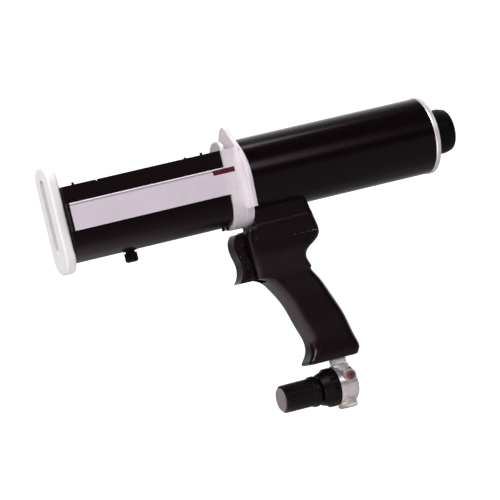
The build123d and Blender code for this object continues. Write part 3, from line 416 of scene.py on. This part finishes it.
class Heading(Enum):
    """Direction of a turned piece's axis, and the two directions across it."""

    BACK = (Vector((1, 0, 0)), Vector((0, 1, 0)), Vector((0, 0, 1)))
    UP = (Vector((0, 0, 1)), Vector((1, 0, 0)), Vector((0, 1, 0)))
    ACROSS = (Vector((0, 1, 0)), Vector((0, 0, 1)), Vector((1, 0, 0)))


@dataclass(frozen=True)
class Turn:
    """One step of a turned profile: its place along the axis, its radius and its outline."""

    place: float
    radius: float
    section: Section = Section.ROUND


class Form:
    """Mesh of one piece, gathered part by part."""

    def __init__(self) -> None:
        """Start with no faces."""
        self.mesh = bmesh.new()

    def skin(self, rings: Sequence[Sequence[Vector]], looped: bool = False) -> None:
        """Join rings of points into a closed surface.

        Args:
            rings: Rings with the same number of points each.
            looped: Join the last ring to the first, with no end faces.
        """
        rows = [[self.mesh.verts.new(point) for point in ring] for ring in rings]
        pairs = list(zip(rows, rows[1:] + rows[:1]))
        for first, second in pairs if looped else pairs[:-1]:
            count = len(first)
            for i in range(count):
                j = (i + 1) % count
                self.mesh.faces.new((first[i], first[j], second[j], second[i]))
        if not looped:
            self.mesh.faces.new(rows[0])
            self.mesh.faces.new(rows[-1])

    def turn(
        self, foot: Vector, heading: Heading, steps: Sequence[Turn], count: int, looped: bool = False
    ) -> None:
        """Turn a profile about an axis.

        Args:
            foot: Point on the axis where places are counted from.
            heading: The axis's direction.
            steps: The profile, in order.
            count: Points round the axis.
            looped: The profile comes back to its start, as on a tube.
        """
        along, first, second = heading.value
        angles = [math.tau * i / count for i in range(count)]
        self.skin(
            [
                [
                    foot
                    + MM * step.place * along
                    + MM * step.section.reach(step.radius, a) * (math.cos(a) * first + math.sin(a) * second)
                    for a in angles
                ]
                for step in steps
            ],
            looped,
        )

    def piece(self, name: str, body: str, slot: str, replaced: Sequence[str] = ()) -> None:
        """Make the object, with its finish, on its body.

        Args:
            name: The piece's name.
            body: The body that it moves with.
            slot: The material slot of its finish.
            replaced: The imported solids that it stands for.
        """
        bmesh.ops.recalc_face_normals(self.mesh, faces=self.mesh.faces)
        data = bpy.data.meshes.new(name)
        self.mesh.to_mesh(data)
        self.mesh.free()
        data.shade_smooth()
        data.set_sharp_from_angle(angle=math.radians(SHARP_ANGLE))
        data.materials.append(FINISHES[slot].material())
        made = bpy.data.objects.new(name, data)
        bpy.context.scene.collection.objects.link(made)
        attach(made, body)
        if replaced:
            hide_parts(*replaced)
        LOG.info("built %s on %s", name, body)


@dataclass(frozen=True)
class SocketScrew:
    """Screw with a hexagon socket, countersunk or with a cheese head."""

    head: float
    head_depth: float
    shank: float
    length: float
    key: float
    sunk: bool = True

    def cut(self, form: Form, foot: Vector, heading: Heading, face: float, way: int) -> None:
        """Add the screw to a form.

        Args:
            form: The form to add to.
            foot: Point on the screw's axis where places are counted from.
            heading: The axis's direction.
            face: Place of the head's face.
            way: 1 if the shank runs along the heading, -1 if against it.
        """
        rim = 0.3
        bottom = 0.7 * self.head_depth
        under = self.shank if self.sunk else self.head
        places = (
            (bottom, PIN_POINT, Section.ROUND),
            (bottom, self.key / 2, Section.HEX),
            (0.0, self.key / 2, Section.HEX),
            (0.0, self.head - rim, Section.ROUND),
            (rim / 2, self.head, Section.ROUND),
            (self.head_depth, under, Section.ROUND),
            (self.head_depth, self.shank, Section.ROUND),
            (self.length - self.shank / 2, self.shank, Section.ROUND),
            (self.length, self.shank / 2, Section.ROUND),
        )
        steps = [Turn(face + way * place, radius, section) for place, radius, section in places]
        if self.sunk:
            del steps[6]
        form.turn(foot, heading, steps, 24)


@dataclass
class Carrier:
    """Front plate, cradle, rails, carrier head, catch and clamp."""

    carrier_front: float = -225.0
    end_wall_rear: float = -217.0
    plate_screw_side: float = 13.5
    plate_screw_heights: Span = (-38.0, 28.0)
    lower_row: float = -25.0
    rail_middle: float = 29.55
    rail_outer: float = 32.0
    rail_screw_height: float = 9.0
    head_front: float = -7.0
    head_radius: float = 47.0
    head_tips: tuple[Span, ...] = ((50.5, 12.0), (-36.0, 43.0))
    head_flat: float = -36.0
    head_screw_spot: Span = (17.0, 8.0)
    collar_half: float = 32.0
    collar_top: float = 36.0
    fillet: float = 8.0
    least_fillet: float = 4.2
    flat_fillet: float = 0.6
    flange_margin: float = 1.0
    rivet_station: float = -19.0
    rivet_heights: Span = (-7.0, 3.0)
    rivet_radius: float = 2.0
    rivet_inner: float = 27.05
    rivet_overlap: float = 0.5
    rivet_dome: float = 0.3
    clamp_station: float = -152.0
    knob_bottom: float = -65.5
    knob_top: float = -54.2
    knob_radius: float = 7.6
    cup_floor: float = -56.6
    cup_radius: float = 6.0
    screw_top: float = -51.3
    screw_radius: float = 3.0
    screw_pitch: float = 1.0
    screw_thread_depth: float = 0.45
    plate_screw: SocketScrew = SocketScrew(3.6, 2.0, 2.0, 16.0, 2.5)
    rail_screw: SocketScrew = SocketScrew(2.3, 0.8, 1.5, 18.0, 1.6)
    head_screw: SocketScrew = SocketScrew(3.6, 2.0, 2.0, 23.0, 2.5)

    def build(self) -> None:
        """Dress the carrier's solids and add its fittings."""
        dress(0.5, "front_plate", "carrier_head")
        dress(0.35, "cradle", "side_rail_left", "side_rail_right")
        dress(0.25, "cartridge_catch", "clamp_pad")
        self.collar_fillet()
        self.screws()
        self.rivets()
        self.thumb_screw()

    def collar_path(self) -> list[tuple[Vector, Vector]]:
        """Points along the collar's outline as (y, height), each with its outward direction."""
        half, row = self.collar_half, self.lower_row
        drop = [self.collar_top + (row - self.collar_top) * i / 12 for i in range(12)]
        path = [(Vector((-half, z)), Vector((-1, 0))) for z in drop]
        for i in range(49):
            a = math.pi * (1 + i / 48)
            out = Vector((math.cos(a), math.sin(a)))
            path.append((Vector((0, row)) + half * out, out))
        path += [(Vector((half, z)), Vector((1, 0))) for z in reversed(drop)]
        return path

    def on_flange(self, y: float, height: float) -> bool:
        """Whether a point across the tool is within the flange's outline."""
        return height >= self.head_flat and any(
            math.hypot(y, height - place * share) <= self.head_radius + (radius - self.head_radius) * share
            for place, radius in self.head_tips
            for share in (i / 20 for i in range(21))
        )

    def room(self, point: Vector, out: Vector) -> float:
        """How far the flange reaches beyond a point of the collar.

        Args:
            point: The collar's point, as (y, height).
            out: The outward direction there.

        Returns:
            The distance in millimetres, 0 where the flange is inside the collar.
        """
        reach = 0.0
        while reach < self.fillet + self.flange_margin:
            if not self.on_flange(*(point + out * (reach + 0.25))):
                break
            reach += 0.25
        return reach

    def collar_fillet(self) -> None:
        """Cast fillet between the collar and the flange."""
        form = Form()
        rings = []
        for point, out in self.collar_path():
            least = self.least_fillet if point.y >= self.head_flat else self.flat_fillet
            radius = max(least, min(self.fillet, self.room(point, out) - self.flange_margin))
            inner = point - out
            ring = [at(self.head_front, *inner), at(self.head_front - radius, *inner)]
            for i in range(9):
                a = math.pi / 2 * i / 8
                spot = point + out * radius * (1 - math.cos(a))
                ring.append(at(self.head_front - radius * (1 - math.sin(a)) - 0.02, *spot))
            ring.append(at(self.head_front, *spot))
            rings.append(ring)
        form.skin(rings)
        form.piece("collar_fillet", "frame", "cast_aluminium")

    def screws(self) -> None:
        """Socket screws of the front plate, the rails and the carrier head."""
        plate, rails, head = Form(), Form(), Form()
        spot_y, spot_z = self.head_screw_spot
        for side in (-1, 1):
            for height in self.plate_screw_heights:
                foot = at(0, side * self.plate_screw_side, height)
                self.plate_screw.cut(plate, foot, Heading.BACK, self.end_wall_rear, -1)
            for level in (-1, 1):
                foot = at(0, side * self.rail_middle, level * self.rail_screw_height)
                self.rail_screw.cut(rails, foot, Heading.BACK, self.carrier_front, 1)
                foot = at(0, side * spot_y, level * spot_z)
                self.head_screw.cut(head, foot, Heading.BACK, self.head_front, 1)
        plate.piece("plate_socket_screws", "frame", "zinc_steel", ["plate_screws"])
        rails.piece("rail_socket_screws", "frame", "knob_black", ["rail_screws"])
        head.piece("head_socket_screws", "frame", "zinc_steel", ["head_screws"])

    def rivets(self) -> None:
        """Domed rivets through the collar and the rail tongues."""
        form = Form()
        radius, inner, face = self.rivet_radius, self.rivet_inner, self.rail_outer
        rim = radius + self.rivet_overlap
        for side in (-1, 1):
            for height in self.rivet_heights:
                places = [(inner, PIN_POINT), (inner, radius), (face, radius)]
                places += [
                    (face + self.rivet_dome * math.sin(a), rim * math.cos(a))
                    for a in (math.pi / 2 * i / 6.2 for i in range(7))
                ]
                steps = [Turn(side * place, reach) for place, reach in places]
                form.turn(at(self.rivet_station, 0, height), Heading.ACROSS, steps, 24)
        form.piece("rail_domed_rivets", "frame", "cast_aluminium", ["rail_rivets"])

    def thumb_screw(self) -> None:
        """Thumb screw under the cradle, with a scalloped knob and a threaded shank."""
        low, high, radius = self.knob_bottom, self.knob_top, self.knob_radius
        steps = [Turn(low + 0.5, PIN_POINT), Turn(low + 0.5, 3.4), Turn(low, 4.2), Turn(low + 0.25, 5.6)]
        steps += [Turn(low + 1.0, radius - 0.8), Turn(low + 2.0, radius, Section.SCALLOPED)]
        steps += [Turn(high - 1.0, radius, Section.SCALLOPED), Turn(high, radius - 1.2)]
        steps.append(Turn(high, self.cup_radius))
        foot, thread = self.cup_floor, self.screw_radius
        steps += [Turn(foot, self.cup_radius), Turn(foot, thread)]
        pitch, root = self.screw_pitch, thread - self.screw_thread_depth
        for i in range(int((self.screw_top - foot) / pitch)):
            steps += [Turn(foot + (i + 0.5) * pitch, root), Turn(foot + (i + 1) * pitch, thread)]
        steps.append(Turn(self.screw_top, thread - 0.3))
        form = Form()
        form.turn(at(self.clamp_station, 0, 0), Heading.UP, steps, 120)
        form.piece("clamp_thumb_screw", "clamp_screw", "knob_black", ["clamp_screw"])


@dataclass
class AirCylinder:
    """Barrel with its ends, and the muffler cap behind it."""

    def build(self) -> None:
        """Dress the cylinder's solids."""
        dress(0.5, "cylinder_tube", "cylinder_head", "rear_plug", "muffler_cap")
        dress(0.2, "transfer_tube", "rod_bushes", "rod_seals", "muffler_disc", "head_o_ring", "rear_o_ring")


@dataclass
class Drive:
    """Piston, push rods and pusher discs."""

    rows: Span = (-25.0, 25.0)
    pusher_front: float = -21.0
    pusher_screw: SocketScrew = SocketScrew(5.0, 2.8, 2.5, 16.0, 3.0)

    def build(self) -> None:
        """Dress the drive's solids and add the pusher screws."""
        dress(0.4, "pusher_upper", "pusher_lower", "push_rod_upper", "push_rod_lower")
        dress(0.2, "piston", "piston_seal", "piston_guide_ring", "transfer_seal", "rod_nuts")
        form = Form()
        for row in self.rows:
            self.pusher_screw.cut(form, at(0, 0, row), Heading.BACK, self.pusher_front, 1)
        form.piece("pusher_socket_screws", "drive", "zinc_steel", ["pusher_screws"])


@dataclass
class Grip:
    """Handle shells, head cover, trigger and the air valve inside."""

    head_screw_spots: tuple[Span, ...] = ((22.0, -59.0), (54.0, -59.0), (60.5, -84.5))
    grip_screw_spots: tuple[Span, ...] = ((31.0, -152.0), (79.0, -205.0))
    head_half: float = 22.0
    grip_half: float = 17.5
    wall: float = 4.0
    seat: float = 3.0
    screw_head: float = 3.6
    head_thick: float = 2.4
    screw_shank: float = 2.0
    screw_key: float = 2.5

    def build(self) -> None:
        """Dress the handle's solids and add its screws."""
        dress(0.5, "handle_left", "handle_right", "head_cover", "trigger", "saddle")
        dress(0.2, "trigger_pin", "valve_body", "valve_spool", "supply_tube", "outlet_tube")
        dress(0.2, "valve_spring", "spool_seals")
        form = Form()
        for half, spots in ((self.head_half, self.head_screw_spots), (self.grip_half, self.grip_screw_spots)):
            face = half - self.seat + self.head_thick
            length = face + half - self.wall
            screw = SocketScrew(
                self.screw_head, self.head_thick, self.screw_shank, length, self.screw_key, sunk=False
            )
            for station, height in spots:
                screw.cut(form, at(station, 0, height), Heading.ACROSS, face, -1)
        form.piece("handle_socket_screws", "frame", "zinc_steel", ["handle_screws"])


@dataclass
class Regulator:
    """Pressure regulator under the grip, with its knob and fittings."""

    axis: float = -261.0
    column: float = 67.0
    knob_front: float = -12.5
    knob_rear: float = 31.0
    knob_radius: float = 16.5
    collar_front: float = 24.0
    collar_radius: float = 18.0
    knob_bore: float = 5.06
    cavity_radius: float = 13.6
    cavity_front: float = 10.0
    disc_face: float = -14.5
    disc_radius: float = 14.0
    gauge_station: float = 70.0
    gauge_height: float = -252.0
    gauge_face: float = -22.9
    gauge_head: float = 5.2
    gauge_head_thick: float = 2.4
    gauge_key: float = 4.0
    gauge_key_depth: float = 1.6
    gauge_thread: float = 4.0
    gauge_depth: float = 9.4
    inlet_flats: float = 22.0
    inlet_bore: float = 5.7
    inlet_shoulder: float = -284.2
    inlet_shank: float = 8.0
    inlet_top: float = -272.0
    inlet_passage: float = 3.0
    inlet_depth: float = 12.0
    inlet_threads: int = 8
    thread_pitch: float = 1.34
    thread_depth: float = 0.6
    poppet_plug_flats: float = 19.0
    poppet_plug_shank: float = 9.0
    poppet_plug_span: Span = (74.0, 83.0)
    poppet_plug_shoulder: float = 79.0
    nipple_bore: float = 3.5
    nipple_radius: float = 6.5
    nipple_span: Span = (-246.0, -214.0)
    nipple_collar_radius: float = 10.0
    nipple_collar_span: Span = (-237.0, -230.7)

    def build(self) -> None:
        """Dress the regulator's solids and add its knob and fittings."""
        dress(0.8, "regulator_body")
        dress(0.2, "diaphragm", "adjusting_spindle", "spring_button", "range_spring")
        dress(0.2, "poppet", "poppet_spring")
        self.knob()
        self.disc()
        self.bonnet()
        self.gauge_plug()
        self.inlet_bush()
        self.poppet_plug()
        self.nipple()

    def knob(self) -> None:
        """Fluted knob with a collar, hollow behind."""
        front, radius, fluted = self.knob_front, self.knob_radius, Section.FLUTED
        shoulder, collar, rear = self.collar_front, self.collar_radius, self.knob_rear
        steps = [Turn(front, self.knob_bore), Turn(front, radius - 1.6), Turn(front + 0.5, radius - 0.6)]
        steps += [Turn(front + 1.4, radius - 0.2), Turn(front + 3.0, radius - 0.1)]
        steps += [Turn(front + 4.2, radius - 0.1, fluted), Turn(shoulder - 2.2, radius, fluted)]
        steps += [Turn(shoulder - 1.0, radius), Turn(shoulder, radius + 0.2)]
        steps += [Turn(shoulder + 0.6, collar - 0.3), Turn(shoulder + 1.2, collar)]
        steps += [Turn(rear - 0.7, collar), Turn(rear, collar - 0.7)]
        steps += [Turn(rear, self.cavity_radius), Turn(self.cavity_front, self.cavity_radius)]
        steps.append(Turn(self.cavity_front, self.knob_bore))
        form = Form()
        form.turn(at(0, 0, self.axis), Heading.BACK, steps, 300, looped=True)
        form.piece("pressure_knob", "knob", "knob_black", ["regulator_knob"])

    def disc(self) -> None:
        """Grey end disc, dished a little, with a rounded rim."""
        face, radius = self.disc_face, self.disc_radius
        steps = [Turn(face + 0.5, PIN_POINT), Turn(face + 0.5, radius - 3.2), Turn(face + 0.1, radius - 2.2)]
        steps += [Turn(face, radius - 1.4), Turn(face + 0.25, radius - 0.5), Turn(face + 0.8, radius)]
        steps.append(Turn(self.knob_front, radius))
        steps += [Turn(self.knob_front, 5.0), Turn(self.knob_front + 4.5, 5.0)]
        form = Form()
        form.turn(at(0, 0, self.axis), Heading.BACK, steps, 96)
        form.piece("knob_end_disc", "knob", "disc_grey", ["knob_disc"])

    def bonnet(self) -> None:
        """Bonnet with a notched ring, over the range spring."""
        notch = Section.NOTCHED
        places = (
            (20.0, 5.06, Section.ROUND), (20.0, 12.3, Section.ROUND), (20.7, 13.0, Section.ROUND),
            (35.0, 13.0, Section.ROUND), (35.0, 17.7, Section.ROUND), (35.8, 18.5, Section.ROUND),
            (43.6, 20.9, Section.ROUND), (44.0, 21.3, Section.ROUND), (44.2, 22.0, Section.ROUND),
            (45.2, 23.0, notch), (52.4, 23.0, notch), (53.3, 22.2, Section.ROUND),
            (53.5, 21.8, Section.ROUND), (53.5, 12.0, Section.ROUND), (34.0, 12.0, Section.ROUND),
            (34.0, 5.06, Section.ROUND),
        )
        form = Form()
        form.turn(at(0, 0, self.axis), Heading.BACK, [Turn(*place) for place in places], 240, looped=True)
        form.piece("regulator_bonnet", "frame", "knob_black", ["bonnet"])

    def gauge_plug(self) -> None:
        """Plug in the gauge port, with a hexagon socket."""
        face, head, key = self.gauge_face, self.gauge_head, Section.HEX
        bottom, under = face + self.gauge_key_depth, face + self.gauge_head_thick
        steps = [Turn(bottom, PIN_POINT), Turn(bottom, self.gauge_key / 2, key)]
        steps += [Turn(face, self.gauge_key / 2, key), Turn(face, head - 0.7), Turn(face + 0.2, head - 0.3)]
        steps += [Turn(face + 0.6, head), Turn(under, head), Turn(under, self.gauge_thread)]
        steps.append(Turn(face + self.gauge_depth, self.gauge_thread))
        form = Form()
        form.turn(at(self.gauge_station, 0, self.gauge_height), Heading.ACROSS, steps, 60)
        form.piece("gauge_port_plug", "frame", "plug_copper", ["gauge_plug"])

    def inlet_bush(self) -> None:
        """Hexagon inlet bush with its thread."""
        flat, bore, low, top = self.inlet_flats / 2, self.inlet_bore, -AXIS_HEIGHT, self.inlet_shoulder
        bottom = low + self.inlet_depth
        steps = [Turn(low, bore + 0.7), Turn(low, flat - 2.2), Turn(low + 0.4, flat - 1.2)]
        steps += [Turn(low + 1.4, flat - 0.2), Turn(low + 2.0, flat, Section.HEX)]
        steps += [Turn(top - 0.7, flat, Section.HEX), Turn(top, flat - 0.4), Turn(top, self.inlet_shank)]
        steps += [Turn(self.inlet_top, self.inlet_shank), Turn(self.inlet_top, self.inlet_passage)]
        steps += [Turn(bottom, self.inlet_passage), Turn(bottom, bore)]
        for i in range(self.inlet_threads):
            crest = bottom - 0.6 - i * self.thread_pitch
            steps += [Turn(crest, bore), Turn(crest - self.thread_pitch / 2, bore + self.thread_depth)]
        form = Form()
        form.turn(at(self.column, 0, 0), Heading.UP, steps, 72, looped=True)
        form.piece("inlet_hexagon_bush", "frame", "brass", ["inlet_bush"])

    def poppet_plug(self) -> None:
        """Hexagon plug in the back of the body."""
        flat, shank, shoulder = self.poppet_plug_flats / 2, self.poppet_plug_shank, self.poppet_plug_shoulder
        front, rear = self.poppet_plug_span
        steps = [Turn(front, PIN_POINT), Turn(front, shank), Turn(shoulder, shank)]
        steps += [Turn(shoulder, flat - 0.1), Turn(shoulder + 0.4, flat, Section.HEX)]
        steps.append(Turn(rear - 0.8, flat, Section.HEX))
        steps += [Turn(rear, flat - 0.3), Turn(rear, 6.0), Turn(rear - 0.6, 5.6), Turn(rear - 0.6, PIN_POINT)]
        form = Form()
        form.turn(at(0, 0, self.axis), Heading.BACK, steps, 72)
        form.piece("poppet_hexagon_plug", "frame", "nickel", ["poppet_plug"])

    def nipple(self) -> None:
        """Nipple between the grip and the regulator, with its round collar."""
        bore, radius, collar = self.nipple_bore, self.nipple_radius, self.nipple_collar_radius
        (bottom, top), (low, high) = self.nipple_span, self.nipple_collar_span
        steps = [Turn(bottom, bore), Turn(bottom, radius - 0.5), Turn(bottom + 0.5, radius)]
        steps += [Turn(low, radius), Turn(low, collar - 0.6), Turn(low + 0.6, collar)]
        steps += [Turn(low + 2.6, collar), Turn(low + 2.9, collar - 0.3)]
        steps += [Turn(low + 3.4, collar - 0.3), Turn(low + 3.7, collar)]
        steps += [Turn(high - 0.6, collar), Turn(high, collar - 0.6), Turn(high, radius)]
        steps += [Turn(top - 0.5, radius), Turn(top, radius - 0.5), Turn(top, bore)]
        form = Form()
        form.turn(at(self.column, 0, 0), Heading.UP, steps, 72, looped=True)
        form.piece("grip_collar_nipple", "frame", "nickel", ["grip_nipple"])


@dataclass(frozen=True)
class Softbox:
    """Square area lamp aimed at the tool: its place in metres, its side and its power in watts."""

    name: str
    place: tuple[float, float, float]
    side: float
    power: float


@dataclass
class Studio:
    """White sweep, soft lamps and the camera at the photograph's angle."""

    azimuth: float = -22.08
    elevation: float = 0.02
    roll: float = -13.6
    distance: float = 5.0
    target: tuple[float, float, float] = (-0.05, 0.0, 0.23)
    right: float = -0.0161
    up: float = -0.0292
    pixels_per_metre: float = 861.1
    image_size: float = 500.0
    sensor: float = 36.0
    floor_size: float = 30.0
    floor_pale: Colour = (0.5, 0.5, 0.5)
    floor_paler: Colour = (0.52, 0.52, 0.52)
    ambient: float = 0.36
    dark_side: float = 0.04
    bright_side: float = 1.3
    bright_way: tuple[float, float, float] = (0.6, 0.8, 0.0)
    bright_span: Span = (0.45, 0.9)
    camera_glow: float = 0.85
    # A floor patch near the nose glows at this strength to camera, gloss and glass rays: painted light for
    # the highlights on the black pieces, not a lamp.
    painted_patch_glow: float = 2.2
    painted_patch_centre: tuple[float, float, float] = (-0.4, -0.08, 0.0)
    painted_patch_reach: Span = (0.15, 0.45)
    softboxes: tuple[Softbox, ...] = (
        Softbox("left_softbox", (-1.6, -0.8, 1.6), 0.7, 29.0),
        Softbox("low_softbox", (-1.5, -0.35, 0.35), 0.5, 1.5),
        Softbox("front_softbox", (0.5, -2.1, 1.3), 0.7, 11.5),
        Softbox("top_softbox", (0.2, 0.2, 2.2), 0.9, 17.0),
    )

    def build(self) -> None:
        """Set up the view, the white surround, the lamps and the camera."""
        bpy.context.scene.view_settings.view_transform = "Standard"
        self.surround()
        self.floor()
        self.lamps()
        self.camera()
        LOG.info("studio ready")

    def camera(self) -> None:
        """Place the camera."""
        a, e, r = (math.radians(v) for v in (self.azimuth, self.elevation, self.roll))
        back = Vector((math.sin(a) * math.cos(e), -math.cos(a) * math.cos(e), math.sin(e)))
        level = Vector((math.cos(a), math.sin(a), 0))
        rise = back.cross(level)
        side = math.cos(r) * level + math.sin(r) * rise
        top = -math.sin(r) * level + math.cos(r) * rise
        lens = bpy.data.cameras.new("photo_camera")
        lens.sensor_width = self.sensor
        lens.lens = self.sensor * self.pixels_per_metre * self.distance / self.image_size
        lens.clip_end = 100
        holder = bpy.data.objects.new("photo_camera", lens)
        bpy.context.scene.collection.objects.link(holder)
        place = Vector(self.target) + back * self.distance + side * self.right + top * self.up
        holder.matrix_world = Matrix.Translation(place) @ Matrix((side, top, back)).transposed().to_4x4()
        bpy.context.scene.camera = holder

    def seen(self, nodes: bpy.types.Nodes, links: bpy.types.NodeLinks) -> bpy.types.NodeSocket:
        """1 for rays that show the surround: from the camera, from gloss and through glass.

        Args:
            nodes: Nodes of the tree to add to.
            links: Links of that tree.

        Returns:
            The value.
        """
        path = nodes.new("ShaderNodeLightPath")
        value = path.outputs["Is Camera Ray"]
        for name in ("Is Glossy Ray", "Is Transmission Ray"):
            largest = nodes.new("ShaderNodeMath")
            largest.operation = "MAXIMUM"
            links.new(value, largest.inputs[0])
            links.new(path.outputs[name], largest.inputs[1])
            value = largest.outputs[0]
        return value

    def surround(self) -> None:
        """White to the camera, brighter behind than in front in reflections, and a plain light otherwise."""
        world = bpy.data.worlds.new("white_surround")
        bpy.context.scene.world = world
        world.use_nodes = True
        nodes, links = world.node_tree.nodes, world.node_tree.links
        way = nodes.new("ShaderNodeVectorMath")
        way.operation = "DOT_PRODUCT"
        way.inputs[1].default_value = self.bright_way
        links.new(nodes.new("ShaderNodeTexCoord").outputs["Generated"], way.inputs[0])
        mirrored = nodes.new("ShaderNodeMapRange")
        span = (*self.bright_span, self.dark_side, self.bright_side)
        for name, value in zip(("From Min", "From Max", "To Min", "To Max"), span):
            mirrored.inputs[name].default_value = value
        links.new(way.outputs["Value"], mirrored.inputs["Value"])
        white = nodes.new("ShaderNodeMath")
        white.operation = "MAXIMUM"
        links.new(mirrored.outputs["Result"], white.inputs[0])
        links.new(nodes.new("ShaderNodeLightPath").outputs["Is Camera Ray"], white.inputs[1])
        strength = nodes.new("ShaderNodeMapRange")
        strength.inputs["To Min"].default_value = self.ambient
        links.new(white.outputs["Value"], strength.inputs["To Max"])
        links.new(self.seen(nodes, links), strength.inputs["Value"])
        links.new(strength.outputs["Result"], nodes["Background"].inputs["Strength"])
        nodes["Background"].inputs["Color"].default_value = (1, 1, 1, 1)

    def floor(self) -> None:
        """Plain white floor under the tool that keeps its soft shadow, with a painted glowing patch near the
        nose that puts highlights into the black pieces' reflections.
        """
        half = self.floor_size / 2
        mesh = bpy.data.meshes.new("floor")
        corners = [(-half, -half, 0), (half, -half, 0), (half, half, 0), (-half, half, 0)]
        mesh.from_pydata(corners, [], [(0, 1, 2, 3)])
        floor = bpy.data.objects.new("floor", mesh)
        bpy.context.scene.collection.objects.link(floor)
        tree = Tree("floor_white")
        tree.shader.inputs["Roughness"].default_value = 1.0
        tree.shader.inputs["Specular IOR Level"].default_value = 0.0
        colour = tree.blend(tree.noise(FLOOR_BLOTCH_SIZE), self.floor_pale, self.floor_paler)
        tree.join(colour, tree.shader.inputs["Base Color"])
        tree.shader.inputs["Emission Color"].default_value = (1, 1, 1, 1)
        # Painted glowing patch: emission that falls off from the patch centre, seen by camera, gloss and
        # glass rays.
        distance = tree.add("ShaderNodeVectorMath", operation="DISTANCE")
        distance.inputs[1].default_value = self.painted_patch_centre
        tree.join(tree.coords, distance.inputs[0])
        painted_patch = tree.remap(distance.outputs["Value"], self.painted_patch_reach, (self.painted_patch_glow, 0.0))
        floor_white_and_painted_patch = tree.reckon("MULTIPLY", self.seen(tree.nodes, tree.links), painted_patch)
        camera_ray = tree.add("ShaderNodeLightPath").outputs["Is Camera Ray"]
        floor_white_and_painted_patch = tree.reckon("MAXIMUM", tree.remap(camera_ray, (0, 1), (0, self.camera_glow)), floor_white_and_painted_patch)
        tree.join(floor_white_and_painted_patch, tree.shader.inputs["Emission Strength"])
        mesh.materials.append(tree.material)

    def lamps(self) -> None:
        """Soft lamps from the left, the front and above."""
        for box in self.softboxes:
            lamp = bpy.data.lights.new(box.name, "AREA")
            lamp.shape = "SQUARE"
            lamp.size = box.side
            lamp.energy = box.power
            holder = bpy.data.objects.new(box.name, lamp)
            bpy.context.scene.collection.objects.link(holder)
            holder.location = box.place
            aim = Vector(self.target) - Vector(box.place)
            holder.rotation_euler = aim.to_track_quat("-Z", "Y").to_euler()


def main() -> None:
    """Build the sub-assemblies in order, then the studio."""
    logging.basicConfig(level=logging.INFO, format="%(name)s: %(message)s")
    for assembly in (Carrier(), AirCylinder(), Drive(), Grip(), Regulator(), Studio()):
        assembly.build()


if __name__ == "__main__":
    main()
